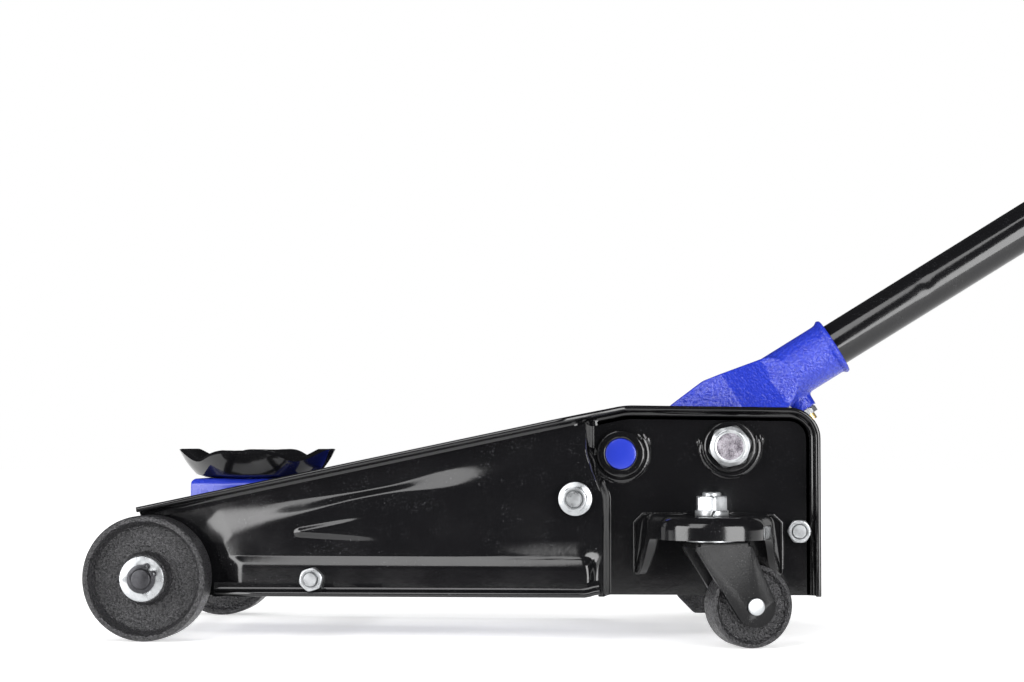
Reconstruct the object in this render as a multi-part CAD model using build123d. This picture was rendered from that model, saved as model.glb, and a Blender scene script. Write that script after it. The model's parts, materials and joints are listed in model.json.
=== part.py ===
from build123d import *
from math import atan2, cos, degrees, hypot, radians, sin
import os

# Car jack: a hydraulic trolley jack. Millimetres, +X towards the handle, +Z up, left side at -Y.
# Every piece is drawn from the front axle line, on the floor and the centre plane, and the whole
# jack is moved at the end so that the origin is under the middle of its box.

# Clearances
running = 0.05          # radial, a shaft that turns in a hole
fitted = 0.1            # radial, a fixed piece in its hole
side_gap = 0.4          # between faces that turn past each other
open_gap = 1.0          # all round the ram pin in its slot, beyond its own travel

# Front wheels and axle
wheel_dia = 97.0
wheel_width = 27.0
wheel_plate_gap = 4.0   # between the wheel's back and the side plate
tread_round = 2.5
rim_mouth_dia = 88.0
web_dia = 83.0
web_thick = 11.0
hub_dia = 37.0
hub_proud = 1.0
axle_dia = 16.0
axle_shoulder_dia = 24.0
axle_washer_dia = 35.0
axle_washer_thick = 3.0
circlip_dia = 22.0
circlip_thick = 1.5
circlip_groove_dia = 14.5
axle_tip = 2.2          # axle beyond its circlip

# Side plates
sheet = 4.0
plate_inner = 109.0     # inner face, from the centre plane
rear_step = 25.0        # the rear of the plate is pressed inward, so that the casters can turn
flange_depth = 12.0
rear_flange_depth = 16.0
panel_raise = 4.0
band_raise = 3.0
plate_nose_radius = 15.0
wheel_well_gap = 3.0
plate_tip = (-11.4, 102.5)
plate_bend = (368.0, 181.6)
plate_rear_top = (517.5, 179.5)
plate_rear_bottom = (517.5, 35.5)
plate_front_bottom = (58.0, 34.0)
plate_corner_radius = 24.0
plate_foot_radius = 2.5
panel_corners = [(63, 41), (46, 80), (56, 91), (322, 145.5), (329, 139), (330, 129), (342, 118), (345, 41)]
step_line = [(355, 0), (355, 112), (351.5, 121), (342.5, 131), (338.7, 141), (338.7, 220)]
step_round = 9.0
panel_corner_radius = 6.0
band_height = 17.0

# Lift arm and its levelling link
arm_pivot = (364.3, 144.1)
saddle_pivot = (61.0, 92.0)
link_pivot = (330.7, 109.8)
arm_shaft_dia = 24.0
arm_cheek_inner = 30.5
arm_cheek_thick = 8.0
arm_root_radius = 24.0
arm_tip_radius = 15.0
arm_cover_thick = 6.0
arm_boss_dia = 35.0
arm_collar_dia = 37.4
arm_collar_inner = 60.0
collar_proud = 6.0
lift_angle = 68.0
saddle_pin_dia = 18.0
clip_thick = 1.5
clip_dia = 24.0
link_pin_dia = 14.0
link_pin_head = 18.0
link_pin_head_thick = 2.0
link_bar_side = 1.4     # bar beyond the bracket's face
link_bar_thick = 6.2
link_bar_width = 20.0
link_eye_dia = 24.0
link_bolt_dia = 12.0
link_bolt_head_dia = 20.0
link_bolt_head_thick = 4.0
link_spacer_dia = 22.0
link_spacer_neck = 15.0
link_nut_flange_dia = 26.0
link_nut_flange_thick = 2.5
link_nut_flats = 18.0
link_nut_height = 9.5
bolt_tip = 3.0

# Tie rods
tie_dia = 10.0
tie_spacer_dia = 20.0
tie_nut_flats = 17.0
tie_nut_height = 8.0
front_tie = (127.3, 47.6)
rear_tie = (501.5, 84.7)

# Saddle and its bracket
saddle_x = 57.7
saddle_rim_dia = 130.0
saddle_base_dia = 96.0
saddle_top = 147.5
saddle_wall = 5.0
saddle_lobe_cut = 12.0
saddle_cut_radius = 26.0
bracket_length = 91.0
bracket_outer = 45.0
bracket_top = 123.5
bracket_wall = 6.0
bracket_eye_radius = 13.0
stem_dia = 30.0
stem_ring_dia = 40.0
stem_ring_thick = 3.0

# Hydraulic unit
ram_horn = 54.0         # ram pin from the arm pivot
ram_pin_dia = 14.0
horn_radius = 14.0
horn_root_radius = 19.0
ram_dia = 28.0
ram_tail = 484.0
barrel_dia = 48.0
barrel_front = 415.0
barrel_rear = 489.0
gland_dia = 44.0
gland_thick = 7.0
crosshead_long = 26.0
crosshead_high = 48.0
crosshead_gap = 0.7     # between the crosshead and the arm's cheeks
head_front = 466.0
head_half = 40.0
head_low = 42.0
head_high = 110.0
deck_front = 430.0
deck_rear = 462.0
deck_low = 104.0
deck_high = 128.0
ear_inner = 24.0
ear_radius = 19.0
sump_front = 405.0
sump_low = 16.0
sump_half = 22.0
sump_chamfer = 14.0
spring_wire = 1.6
return_coil_dia = 7.6
return_spring_side = 26.0
return_spring_drop = 17.0
return_turns = 20
plug_dia = 14.0
plug_side = 27.0
plug_flats = 12.0
plug_height = 6.0

# Handle pivot, pump and release valve
handle_pivot = (448.7, 149.8)
pivot_bolt_dia = 20.0
pivot_bolt_flats = 30.0
pivot_bolt_head = 12.0
pivot_collar_dia = 40.4
cheek_inner = 40.5
cheek_thick = 12.0
pump_angle = 50.0
roller_arm = 32.0
roller_start = -20.0    # degrees above the horizontal, seen from the pivot
roller_dia = 16.0
roller_half = 7.0
pump_side = 28.0        # the pump stands beside the ram
roller_pin_dia = 9.0
lug_inner = 7.5
lug_thick = 7.0
lug_radius = 11.0
plunger_dia = 12.0
plunger_head_dia = 14.0
plunger_head_thick = 4.5
plunger_low = 62.0
pump_spring_dia = 16.0
pump_turns = 5
pump_nut_flats = 16.0
pump_nut_height = 6.0
valve_x = 449.0
valve_dia = 10.0
valve_nut_flats = 19.0
valve_nut_height = 5.0
valve_top = 141.0
valve_fork_dia = 16.0
valve_fork_high = 7.0

# Handle and socket, along the handle from the pivot
handle_slope = 31.85
handle_offset = 25.0    # handle axis above the pivot
handle_dia = 35.0
handle_wall = 2.5
handle_start = 45.0
handle_split = 560.0
handle_end = 1070.0
spigot_length = 60.0
drive_key_dia = 14.0
drive_key_start = 12.0
drive_collar = 10.0
socket_dia = 44.0
socket_flange_dia = 48.5
socket_flange_thick = 4.0
socket_mouth = 114.8
socket_cheek_radius = 22.0
socket_crown = 55.3
socket_crown_radius = 15.0
socket_bridge = 10.0
socket_taper_start = 24.0
socket_taper_end = 58.0
grip_dia = 41.0
grip_length = 140.0
lock_place = 68.0
lock_lug_dia = 18.0
lock_lug_reach = 32.0
lock_screw_dia = 8.0
lock_nut_flats = 13.0
lock_nut_height = 5.0
lock_screw_tip = 5.0
joint_screw_dia = 8.0
joint_screw_head = 13.0

# Casters
caster_x = 435.0
caster_side = 150.0
caster_trail = 28.5
caster_turn = 20.0
caster_dia = 63.0
caster_width = 22.0
caster_rim_dia = 56.0
caster_web = 10.0
caster_hub_dia = 24.0
caster_round = 2.0
fork_gap = 1.5
fork_thick = 4.0
fork_leg_top = 36.0
fork_leg_foot = 31.0
fork_plate_high = 79.0
rivet_dia = 10.0
rivet_head_dia = 13.0
rivet_head_thick = 2.0
hood_top = 98.0
hood_wall = 5.0
hood_nose_radius = 34.0
hood_root_front = 375.0
hood_root_rear = 487.5
hood_skirt_low = 81.0
hood_root_low = 50.0
hood_slope_reach = 138.0
stem_bolt_dia = 14.0
stem_shoulder_dia = 22.0
stem_foot_dia = 24.0
stem_foot_thick = 3.0
thrust_dia = 38.0
thrust_thick = 3.0
caster_nut_flats = 22.0
caster_nut_height = 10.5
caster_spring_washer_dia = 25.0
caster_spring_washer_thick = 4.6

# Derived
axle_height = wheel_dia / 2
plate_outer = plate_inner + sheet
wheel_back = plate_outer + wheel_plate_gap
wheel_face = wheel_back + wheel_width
rear_inner = plate_inner - rear_step
rear_outer = plate_outer - rear_step
band_face = plate_outer + panel_raise + band_raise
collar_face = rear_outer + collar_proud
arm_cheek_outer = arm_cheek_inner + arm_cheek_thick
crosshead_half = arm_cheek_inner - crosshead_gap
link_bar_inner = bracket_outer + link_bar_side
link_bar_outer = link_bar_inner + link_bar_thick
link_offset = (link_pivot[0] - arm_pivot[0], link_pivot[1] - arm_pivot[1])
link_front = (saddle_pivot[0] + link_offset[0], saddle_pivot[1] + link_offset[1])
horn_start = radians(-90 + lift_angle / 2)
ram_pin = (arm_pivot[0] + ram_horn * cos(horn_start), arm_pivot[1] + ram_horn * sin(horn_start))
ram_height = arm_pivot[1] - ram_horn * (1 + cos(radians(lift_angle / 2))) / 2
ram_drop = ram_horn * (1 - cos(radians(lift_angle / 2)))
ram_stroke = 2 * ram_horn * cos(horn_start)
cheek_outer = cheek_inner + cheek_thick
roller_angle = radians(roller_start)
roller = (handle_pivot[0] + roller_arm * cos(roller_angle), handle_pivot[1] + roller_arm * sin(roller_angle))
pump_stroke = roller_arm * (sin(radians(roller_start + pump_angle)) - sin(roller_angle))
plunger_top = roller[1] - roller_dia / 2 - 0.3
gland_low = ram_height - gland_dia / 2
valve_low = ram_height + ram_dia / 2 + 3
pump_nut_top = head_high + pump_nut_height
caster_half = caster_width / 2
fork_inner = caster_half + fork_gap
fork_outer = fork_inner + fork_thick
saddle_seat = bracket_top + 0.4
slope = radians(handle_slope)


def outward(x, reach, z):
    """Local +Z points out of the left side, from the given distance off the centre plane."""
    return Plane(origin=(x, -reach, z), x_dir=(1, 0, 0), z_dir=(0, -1, 0)).location


def slab(outline, inner, outer):
    """An outline drawn in X and Z, as a plate between two distances on the left side."""
    return extrude(Plane.XZ.offset(inner) * outline, outer - inner)


def across(outline, half):
    return slab(outline, -half, half)


def disc(dia, height, bore=0.0, edge=0.0):
    """A round piece from local Z 0 upwards, with its outer top edge bevelled."""
    radius = dia / 2
    inner = bore / 2
    points = [(inner, 0), (radius, 0), (radius, height - edge), (radius - edge, height), (inner, height)]
    if edge == 0:
        points = [(inner, 0), (radius, 0), (radius, height), (inner, height)]
    return revolve(Plane.XZ * make_face(Polyline(points, close=True)), axis=Axis.Z)


def hexagon(flats, height, bore=0.0):
    """A hexagonal head or nut from local Z 0 upwards, its outer corners turned off."""
    body = extrude(RegularPolygon(flats / 2, 6, major_radius=False), height)
    body &= disc(flats / cos(radians(30)), height, edge=(1 / cos(radians(30)) - 1) * flats / 2)
    if bore:
        body -= disc(bore, height)
    return body


def both(piece):
    return Compound([piece, mirror(piece, about=Plane.XZ)])


def opposite(piece):
    return mirror(piece, about=Plane.XZ)


def hull(*circles):
    """The outline stretched round circles given as (x, z, radius)."""
    edges = ShapeList()
    for x, z, radius in circles:
        edges += (Pos(x, z) * Circle(radius)).edges()
    return make_hull(edges)


def rounded(points, radius):
    face = make_face(Polyline(points, close=True))
    return fillet(face.vertices(), radius)


def coil(start, end, side, height, dia, turns, wire):
    """A spring along X, with its ends closed flat."""
    pitch = (end - start - wire) / turns
    path = Helix(pitch, pitch * turns, (dia - wire) / 2)
    section = Plane(origin=path @ 0, z_dir=path % 0) * Circle(wire / 2)
    body = sweep(section, path=path)
    return Location((start + wire / 2, side, height), (0, 90, 0)) * body


# Chassis
def plate_outline():
    nose = axle_height - plate_nose_radius
    points = [plate_tip, plate_bend, plate_rear_top, plate_rear_bottom, plate_front_bottom,
              (0, nose), (-plate_nose_radius, axle_height)]
    face = make_face(Polyline(points, close=True)) + Pos(0, axle_height) * Circle(plate_nose_radius)
    corner = face.vertices().sort_by_distance(Vector(*plate_rear_top))[0]
    face = fillet(corner, plate_corner_radius)
    foot = face.vertices().sort_by_distance(Vector(*plate_rear_bottom))[0]
    return fillet(foot, plate_foot_radius)


def band_outline():
    low = panel_corners[0][1]
    return make_face(Polyline([(panel_corners[0][0], low), (panel_corners[-1][0] - 3, low),
                               (panel_corners[-1][0] - 3, low + band_height),
                               (panel_corners[0][0] - 5, low + band_height)], close=True))


def front_side():
    """The part of the side view ahead of the step, which runs up and round the arm's collar."""
    points = step_line + [(-200, step_line[-1][1]), (-200, 0)]
    face = make_face(Polyline(points, close=True))
    for place in step_line[1:-1]:
        face = fillet(face.vertices().sort_by_distance(Vector(*place))[0], step_round / 2)
    return face


def side_plate():
    outline = plate_outline()
    ahead = front_side()
    panel = rounded(panel_corners, panel_corner_radius)
    band = band_outline()
    plate = slab(outline & ahead, plate_inner, plate_outer)
    plate += slab(outline - ahead, rear_inner, rear_outer)
    plate += slab((outline & offset(ahead, sheet)) - ahead, rear_inner, plate_outer)
    plate += slab(panel, plate_outer, plate_outer + panel_raise)
    plate += slab(band, plate_outer, band_face)
    plate -= slab(offset(panel, -sheet), plate_inner, plate_inner + panel_raise)
    plate -= slab(offset(band, -sheet), plate_inner, plate_inner + panel_raise + band_raise)
    edge = outline - offset(outline, -sheet)
    front_edge = (edge & ahead) - Pos(0, axle_height) * Circle(axle_height + wheel_well_gap)
    front_edge -= Pos(0, axle_height - 60) * Rectangle(2 * panel_corners[0][0], 120)
    low_rear = Pos(step_line[0][0] + 100, plate_rear_bottom[1]) * Rectangle(
        2 * (plate_rear_bottom[0] - step_line[0][0] - 100 - sheet), 2 * sheet + 1)
    rear_edge = edge - ahead - low_rear
    plate += slab(front_edge, plate_outer, plate_outer + flange_depth)
    plate += slab(rear_edge, rear_outer, rear_outer + rear_flange_depth)
    for x, z, dia in ((0, axle_height, axle_shoulder_dia + 2 * fitted),
                      (*arm_pivot, arm_collar_dia + 2 * fitted),
                      (*handle_pivot, pivot_collar_dia + 2 * fitted),
                      (*link_pivot, link_bolt_dia + 2 * fitted),
                      (*front_tie, tie_dia + 2 * fitted),
                      (*rear_tie, tie_dia + 2 * fitted)):
        plate -= outward(x, rear_inner - 1, z) * disc(dia, band_face - rear_inner + 2)
    return plate


def front_axle():
    shoulder = wheel_back - side_gap
    washer_out = wheel_face + hub_proud + side_gap + axle_washer_thick
    groove = washer_out + 0.2
    end = groove + circlip_thick + axle_tip
    half = outward(0, 0, axle_height) * disc(axle_shoulder_dia, shoulder)
    half += outward(0, 0, axle_height) * disc(axle_dia, end, edge=1)
    half -= outward(0, groove, axle_height) * disc(axle_dia + 2, circlip_thick, circlip_groove_dia)
    return half + opposite(half)


def axle_washer():
    reach = wheel_face + hub_proud + side_gap
    return outward(0, reach, axle_height) * disc(axle_washer_dia, axle_washer_thick,
                                                 axle_dia + 2 * fitted, edge=0.4)


def axle_circlip():
    """A ring with a gap between two holed lugs."""
    reach = wheel_face + hub_proud + side_gap + axle_washer_thick + 0.2
    ring = Circle(circlip_dia / 2) - Circle(circlip_groove_dia / 2 + fitted)
    for side in (-1, 1):
        lug = Rot(0, 0, 45 + side * 22) * Pos(circlip_dia / 2 - 0.5, 0) * (Circle(2.6) - Circle(0.9))
        ring = ring - Rot(0, 0, 45 + side * 22) * Pos(circlip_dia / 2 - 0.5, 0) * Circle(0.9) + lug
    ring -= Rot(0, 0, 45) * Pos(circlip_dia / 2, 0) * Rectangle(circlip_dia / 2, 2.6)
    return outward(0, reach, axle_height) * extrude(ring, circlip_thick)


def front_wheel():
    edge = wheel_dia / 2
    web_low = (wheel_width - web_thick) / 2
    web_high = web_low + web_thick
    bore = axle_dia / 2 + running
    mouth, web, hub = rim_mouth_dia / 2, web_dia / 2, hub_dia / 2
    points = [(bore, 0), (hub, 0), (hub + 1, web_low), (web, web_low), (mouth, 0), (edge - tread_round, 0),
              (edge, tread_round), (edge, wheel_width - tread_round), (edge - tread_round, wheel_width),
              (mouth, wheel_width), (web, web_high), (hub + 1, web_high), (hub, wheel_width + hub_proud),
              (bore, wheel_width + hub_proud)]
    body = revolve(Plane.XZ * make_face(Polyline(points, close=True)), axis=Axis.Z)
    return outward(0, wheel_back, axle_height) * body


def tie_rod(place, face):
    return Plane.XZ.offset(-face) * Pos(*place) * Cylinder(
        tie_dia / 2, 2 * face, align=(Align.CENTER, Align.CENTER, Align.MIN))


def tie_spacers():
    pieces = []
    for place, reach in ((front_tie, plate_inner), (rear_tie, rear_inner)):
        pieces.append(outward(place[0], -reach, place[1]) * disc(tie_spacer_dia, 2 * reach,
                                                                 tie_dia + 2 * fitted))
    return Compound(pieces)


def tie_nuts():
    pieces = []
    for place, reach, turn in ((front_tie, band_face, 12), (rear_tie, rear_outer, 0)):
        nut = outward(place[0], reach, place[1]) * Rot(0, 0, turn) * hexagon(
            tie_nut_flats, tie_nut_height, tie_dia + 2 * fitted)
        pieces += [nut, opposite(nut)]
    return Compound(pieces)


def arm_collar():
    return outward(arm_pivot[0], arm_collar_inner, arm_pivot[1]) * disc(
        arm_collar_dia, collar_face - arm_collar_inner, arm_shaft_dia + 2 * running, edge=1)


def pivot_collar():
    start = cheek_outer + side_gap
    return outward(handle_pivot[0], start, handle_pivot[1]) * disc(
        pivot_collar_dia, collar_face - start, pivot_bolt_dia + 2 * fitted, edge=1)


def pivot_bolt():
    start = ear_inner + 2
    bolt = outward(handle_pivot[0], start, handle_pivot[1]) * disc(pivot_bolt_dia, collar_face - start)
    return bolt + outward(handle_pivot[0], collar_face, handle_pivot[1]) * hexagon(pivot_bolt_flats,
                                                                                  pivot_bolt_head)


def link_bolt():
    x, z = link_pivot
    head_out = link_bar_inner - side_gap
    tip = plate_outer + panel_raise + link_nut_flange_thick + link_nut_height + bolt_tip
    bolt = outward(x, head_out - link_bolt_head_thick, z) * disc(link_bolt_head_dia, link_bolt_head_thick)
    return bolt + outward(x, head_out, z) * disc(link_bolt_dia, tip - head_out, edge=1)


def link_spacer():
    """A tube between the link bar and the plate, its neck reaching into the raised panel."""
    start = link_bar_outer + side_gap
    bore = link_bolt_dia + 2 * fitted
    spacer = outward(link_pivot[0], start, link_pivot[1]) * disc(link_spacer_dia, plate_inner - start, bore)
    return spacer + outward(link_pivot[0], start, link_pivot[1]) * disc(
        link_spacer_neck, plate_inner + panel_raise - start, bore)


def link_nut():
    x, z = link_pivot
    face = plate_outer + panel_raise
    nut = outward(x, face, z) * disc(link_nut_flange_dia, link_nut_flange_thick,
                                     link_bolt_dia + 2 * fitted, edge=1)
    return nut + outward(x, face + link_nut_flange_thick, z) * hexagon(
        link_nut_flats, link_nut_height, link_bolt_dia + 2 * fitted)


def caster_bracket():
    """A pressed hood whose skirt deepens towards the side plate."""
    reach = caster_side - rear_outer
    shift = Pos(caster_x, -rear_outer)
    front = hood_root_front - caster_x
    rear = hood_root_rear - caster_x
    nose = [Vector(front, 0), Vector(rear, 0)]
    round_nose = (Pos(0, -reach) * Circle(hood_nose_radius)).edges()
    round_nose += [Line(nose[0], nose[1])]
    plan = make_hull(round_nose)
    inside = offset(plan, -hood_wall) + Pos((front + rear) / 2, -hood_wall / 2) * Rectangle(
        rear - front - 2.6 * hood_wall, hood_wall)
    hood = Pos(0, 0, hood_root_low) * extrude(shift * plan, hood_top - hood_root_low)
    top_edge = hood.faces().sort_by(Axis.Z)[-1].edges().filter_by(
        lambda edge: edge.center().Y < -rear_outer - 1)
    hood = fillet(top_edge, hood_wall * 0.8)
    hood -= Pos(0, 0, hood_root_low - 1) * extrude(shift * inside, hood_top - hood_root_low - hood_wall + 1)
    far = caster_side + 2 * hood_nose_radius
    wedge = Polyline([(-rear_outer + 2, hood_root_low - 1), (-hood_slope_reach, hood_skirt_low),
                      (-far, hood_skirt_low), (-far, hood_root_low - 1)], close=True)
    side = (Plane.YZ.offset(hood_root_front - 10)) * make_face(wedge)
    hood -= extrude(side, hood_root_rear - hood_root_front + 20)
    hood -= Pos(caster_x, -caster_side, 0) * disc(stem_bolt_dia + 2 * fitted, hood_top + 1)
    return hood


def caster_stem():
    """Held by its nut on the hood; its shoulder meets the hood, and its foot carries the fork."""
    plate_low = fork_plate_high - fork_thick
    thrust_top = fork_plate_high + side_gap + thrust_thick
    foot = plate_low - side_gap - stem_foot_thick
    top = hood_top + caster_spring_washer_thick + caster_nut_height + bolt_tip
    stem = Pos(0, 0, foot) * disc(stem_foot_dia, stem_foot_thick)
    stem += Pos(0, 0, foot) * disc(stem_bolt_dia, top - foot, edge=1)
    stem += Pos(0, 0, thrust_top) * disc(stem_shoulder_dia, hood_top - hood_wall - thrust_top)
    return Pos(caster_x, -caster_side, 0) * stem


def on_stem(height, piece):
    return Pos(caster_x, -caster_side, height) * piece


def spring_washer():
    ring = disc(caster_spring_washer_dia, caster_spring_washer_thick, stem_bolt_dia + 2 * fitted)
    return ring - Pos(0, -caster_spring_washer_dia / 2, 0) * Rot(0, 25, 0) * Box(
        1.2, caster_spring_washer_dia / 2, 3 * caster_spring_washer_thick)


def caster_place():
    """From the swivel axis, +X along the trail."""
    return Pos(caster_x, -caster_side, 0) * Rot(0, 0, caster_turn)


def caster_fork():
    low = fork_plate_high - fork_thick
    axle = caster_dia / 2
    half = fork_leg_top / 2
    foot = fork_leg_foot / 2
    top_plate = extrude(Pos(4, 0) * RectangleRounded(fork_leg_top + 8, 2 * fork_outer, 4), fork_thick)
    fork = Pos(0, 0, low) * top_plate
    plane = hull((caster_trail, axle, foot), (half - 8, low + 2, 12), (2 - half, low, 2),
                 (half + 6, low, 2))
    plane &= Pos(0, low / 2) * Rectangle(200, low + 2)
    leg = slab(plane, fork_inner, fork_outer)
    fork += leg + opposite(leg)
    fork -= Pos(caster_trail, fork_outer + 1, axle) * Rot(90, 0, 0) * disc(rivet_dia + 2 * fitted,
                                                                          2 * fork_outer + 2)
    fork -= disc(stem_bolt_dia + 2 * running, 200)
    return caster_place() * fork


def caster_wheel():
    edge = caster_dia / 2
    low = (caster_width - caster_web) / 2
    high = low + caster_web
    rim, hub, bore = caster_rim_dia / 2, caster_hub_dia / 2, rivet_dia / 2 + running
    points = [(bore, 0.2), (hub, 0.2), (hub + 1, low), (rim - 2, low), (rim, 0), (edge - caster_round, 0),
              (edge, caster_round), (edge, caster_width - caster_round), (edge - caster_round, caster_width),
              (rim, caster_width), (rim - 2, high), (hub + 1, high), (hub, caster_width - 0.2),
              (bore, caster_width - 0.2)]
    body = revolve(Plane.XZ * make_face(Polyline(points, close=True)), axis=Axis.Z)
    return caster_place() * outward(caster_trail, -caster_half, edge) * body


def caster_rivet():
    axle = caster_dia / 2
    length = 2 * fork_outer
    body = outward(caster_trail, -fork_outer, axle) * disc(rivet_dia, length)
    for reach in (fork_outer, -fork_outer - rivet_head_thick):
        body += outward(caster_trail, reach, axle) * disc(rivet_head_dia, rivet_head_thick)
    return caster_place() * body


# Hydraulic unit
def pump_block():
    """The cast head, the ram's barrel, the sump under it and the two pivot ears."""
    bar = lambda dia, start, end: Location((start, 0, ram_height), (0, 90, 0)) * disc(dia, end - start)
    block = bar(barrel_dia, barrel_front, barrel_rear)
    head = Pos((head_front + barrel_rear) / 2, (head_low + head_high) / 2) * RectangleRounded(
        barrel_rear - head_front, head_high - head_low, 4)
    block += across(head, head_half)
    deck = Polyline([(deck_front, deck_low), (deck_rear, deck_low), (deck_rear, deck_high),
                     (deck_front, deck_high)], close=True)
    block += across(make_face(deck), head_half)
    sump = Polyline([(sump_front, sump_low + sump_chamfer), (sump_front + sump_chamfer, sump_low),
                     (barrel_rear, sump_low), (barrel_rear, ram_height - barrel_dia / 3),
                     (barrel_front, ram_height - barrel_dia / 3), (barrel_front, gland_low - 4),
                     (sump_front, gland_low - 10)], close=True)
    block += across(make_face(sump), sump_half)
    ear = slab(hull((*handle_pivot, ear_radius), (deck_front + 2, deck_high - 4, 2),
                    (deck_rear - 2, deck_high - 4, 2)), ear_inner, head_half)
    block += ear + opposite(ear)
    bolt_hole = outward(handle_pivot[0], -head_half - 1, handle_pivot[1]) * disc(
        pivot_bolt_dia + 2 * fitted, 2 * head_half + 2)
    block -= bolt_hole
    block -= bar(ram_dia + 2 * running, barrel_front - 1, ram_tail + 1)
    block -= Pos(roller[0], pump_side, plunger_low - 2) * disc(plunger_dia + 2 * running, 100)
    block -= Pos(valve_x, 0, valve_low - 0.3) * disc(valve_dia + 2 * running, 100)
    return block


def ram_gland():
    return Location((barrel_front - gland_thick, 0, ram_height), (0, 90, 0)) * disc(
        gland_dia, gland_thick, ram_dia + 2 * running)


def filler_plug():
    x = (head_front + barrel_rear) / 2
    plug = Pos(x, -plug_side, head_high) * disc(plug_dia, 2)
    return plug + Pos(x, -plug_side, head_high + 2) * hexagon(plug_flats, plug_height - 2)


def pump_nut():
    return Pos(roller[0], pump_side, head_high) * hexagon(pump_nut_flats, pump_nut_height,
                                                          plunger_dia + 2 * running)


def plunger():
    neck = plunger_top - plunger_head_thick
    body = Pos(roller[0], pump_side, plunger_low) * disc(plunger_dia, neck - plunger_low)
    return body + Pos(roller[0], pump_side, neck) * disc(plunger_head_dia, plunger_head_thick, edge=1)


def pump_spring():
    length = plunger_top - plunger_head_thick - pump_nut_top - 0.2
    spring = coil(0, length, 0, 0, pump_spring_dia, pump_turns, spring_wire * 0.9)
    return Pos(roller[0], pump_side, pump_nut_top + 0.1) * Rot(0, -90, 0) * spring


def release_valve():
    nut = deck_high + 0.3
    valve = Pos(valve_x, 0, valve_low) * disc(valve_dia, valve_top - valve_low)
    valve += Pos(valve_x, 0, nut) * hexagon(valve_nut_flats, valve_nut_height)
    fork = Pos(valve_x, 0, valve_top - valve_fork_high) * disc(valve_fork_dia, valve_fork_high)
    return valve + fork - Pos(valve_x, 0, valve_top) * Box(5, 30, 8)


def ram():
    return Location((ram_pin[0] + crosshead_long / 2 - 1, 0, ram_height), (0, 90, 0)) * disc(
        ram_dia, ram_tail - ram_pin[0] - crosshead_long / 2 + 1)


def crosshead():
    slot_width = ram_pin_dia + 2 * open_gap + 1
    slot_high = ram_pin_dia + ram_drop + 2 * open_gap
    outline = Pos(ram_pin[0], ram_height) * (RectangleRounded(crosshead_long, crosshead_high, 5)
                                             - SlotOverall(slot_high, slot_width, rotation=90))
    body = across(outline, crosshead_half)
    rod = Location((ram_pin[0] + crosshead_long / 2 - 1, 0, ram_height), (0, 90, 0)) * disc(ram_dia, 10)
    return body - rod


def return_spring():
    start = ram_pin[0] + crosshead_long / 2 + 0.3
    return coil(start, head_front - 0.3, -return_spring_side, ram_height - return_spring_drop,
                return_coil_dia, return_turns, spring_wire)


# Lift arm
def arm_outline():
    return hull((*arm_pivot, arm_root_radius), (*saddle_pivot, arm_tip_radius))


def lift_arm():
    body = arm_outline()
    horn = hull((*arm_pivot, horn_root_radius), (*ram_pin, horn_radius))
    cheek = slab(body + horn, arm_cheek_inner, arm_cheek_outer)
    arm = cheek + opposite(cheek)
    lean = degrees(atan2(arm_pivot[1] - saddle_pivot[1], arm_pivot[0] - saddle_pivot[0]))
    middle = Pos((arm_pivot[0] + saddle_pivot[0]) / 2, (arm_pivot[1] + saddle_pivot[1]) / 2)
    window = middle * Rot(0, 0, lean) * Pos(10, 40) * Rectangle(
        hypot(arm_pivot[0] - saddle_pivot[0], arm_pivot[1] - saddle_pivot[1]) - 110, 80)
    cover = (body - offset(body, -arm_cover_thick)) & window
    arm += across(cover, arm_cheek_inner)
    boss = outward(arm_pivot[0], -arm_cheek_inner, arm_pivot[1]) * disc(arm_boss_dia, 2 * arm_cheek_inner)
    arm += boss
    for side in (1, -1):
        outer = outward(arm_pivot[0], arm_cheek_outer, arm_pivot[1]) * disc(
            arm_boss_dia, arm_collar_inner - side_gap - arm_cheek_outer)
        arm += outer if side > 0 else opposite(outer)
    for place, dia in ((arm_pivot, arm_shaft_dia), (saddle_pivot, saddle_pin_dia), (ram_pin, ram_pin_dia)):
        arm -= outward(place[0], -arm_collar_inner, place[1]) * disc(dia + 2 * fitted, 2 * arm_collar_inner)
    return arm


def arm_shaft():
    end = collar_face + 1
    half = outward(arm_pivot[0], 0, arm_pivot[1]) * disc(arm_shaft_dia, end, edge=0.6)
    return half + opposite(half)


def saddle_pin():
    half = outward(saddle_pivot[0], 0, saddle_pivot[1]) * disc(
        saddle_pin_dia, bracket_outer + side_gap + clip_thick + 1, edge=0.6)
    half -= outward(saddle_pivot[0], bracket_outer + side_gap, saddle_pivot[1]) * disc(
        saddle_pin_dia + 2, clip_thick, saddle_pin_dia - 3)
    return half + opposite(half)


def pin_clip():
    ring = Circle(clip_dia / 2) - Circle(saddle_pin_dia / 2 - 1.4)
    ring -= Pos(0, -clip_dia / 2) * Rectangle(saddle_pin_dia - 5, clip_dia)
    return outward(saddle_pivot[0], bracket_outer + side_gap + 0.05, saddle_pivot[1]) * extrude(
        ring, clip_thick - 0.1)


def ram_cross_pin():
    half = outward(ram_pin[0], 0, ram_pin[1]) * disc(ram_pin_dia, arm_cheek_outer + 1, edge=0.6)
    return half + opposite(half)


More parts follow.
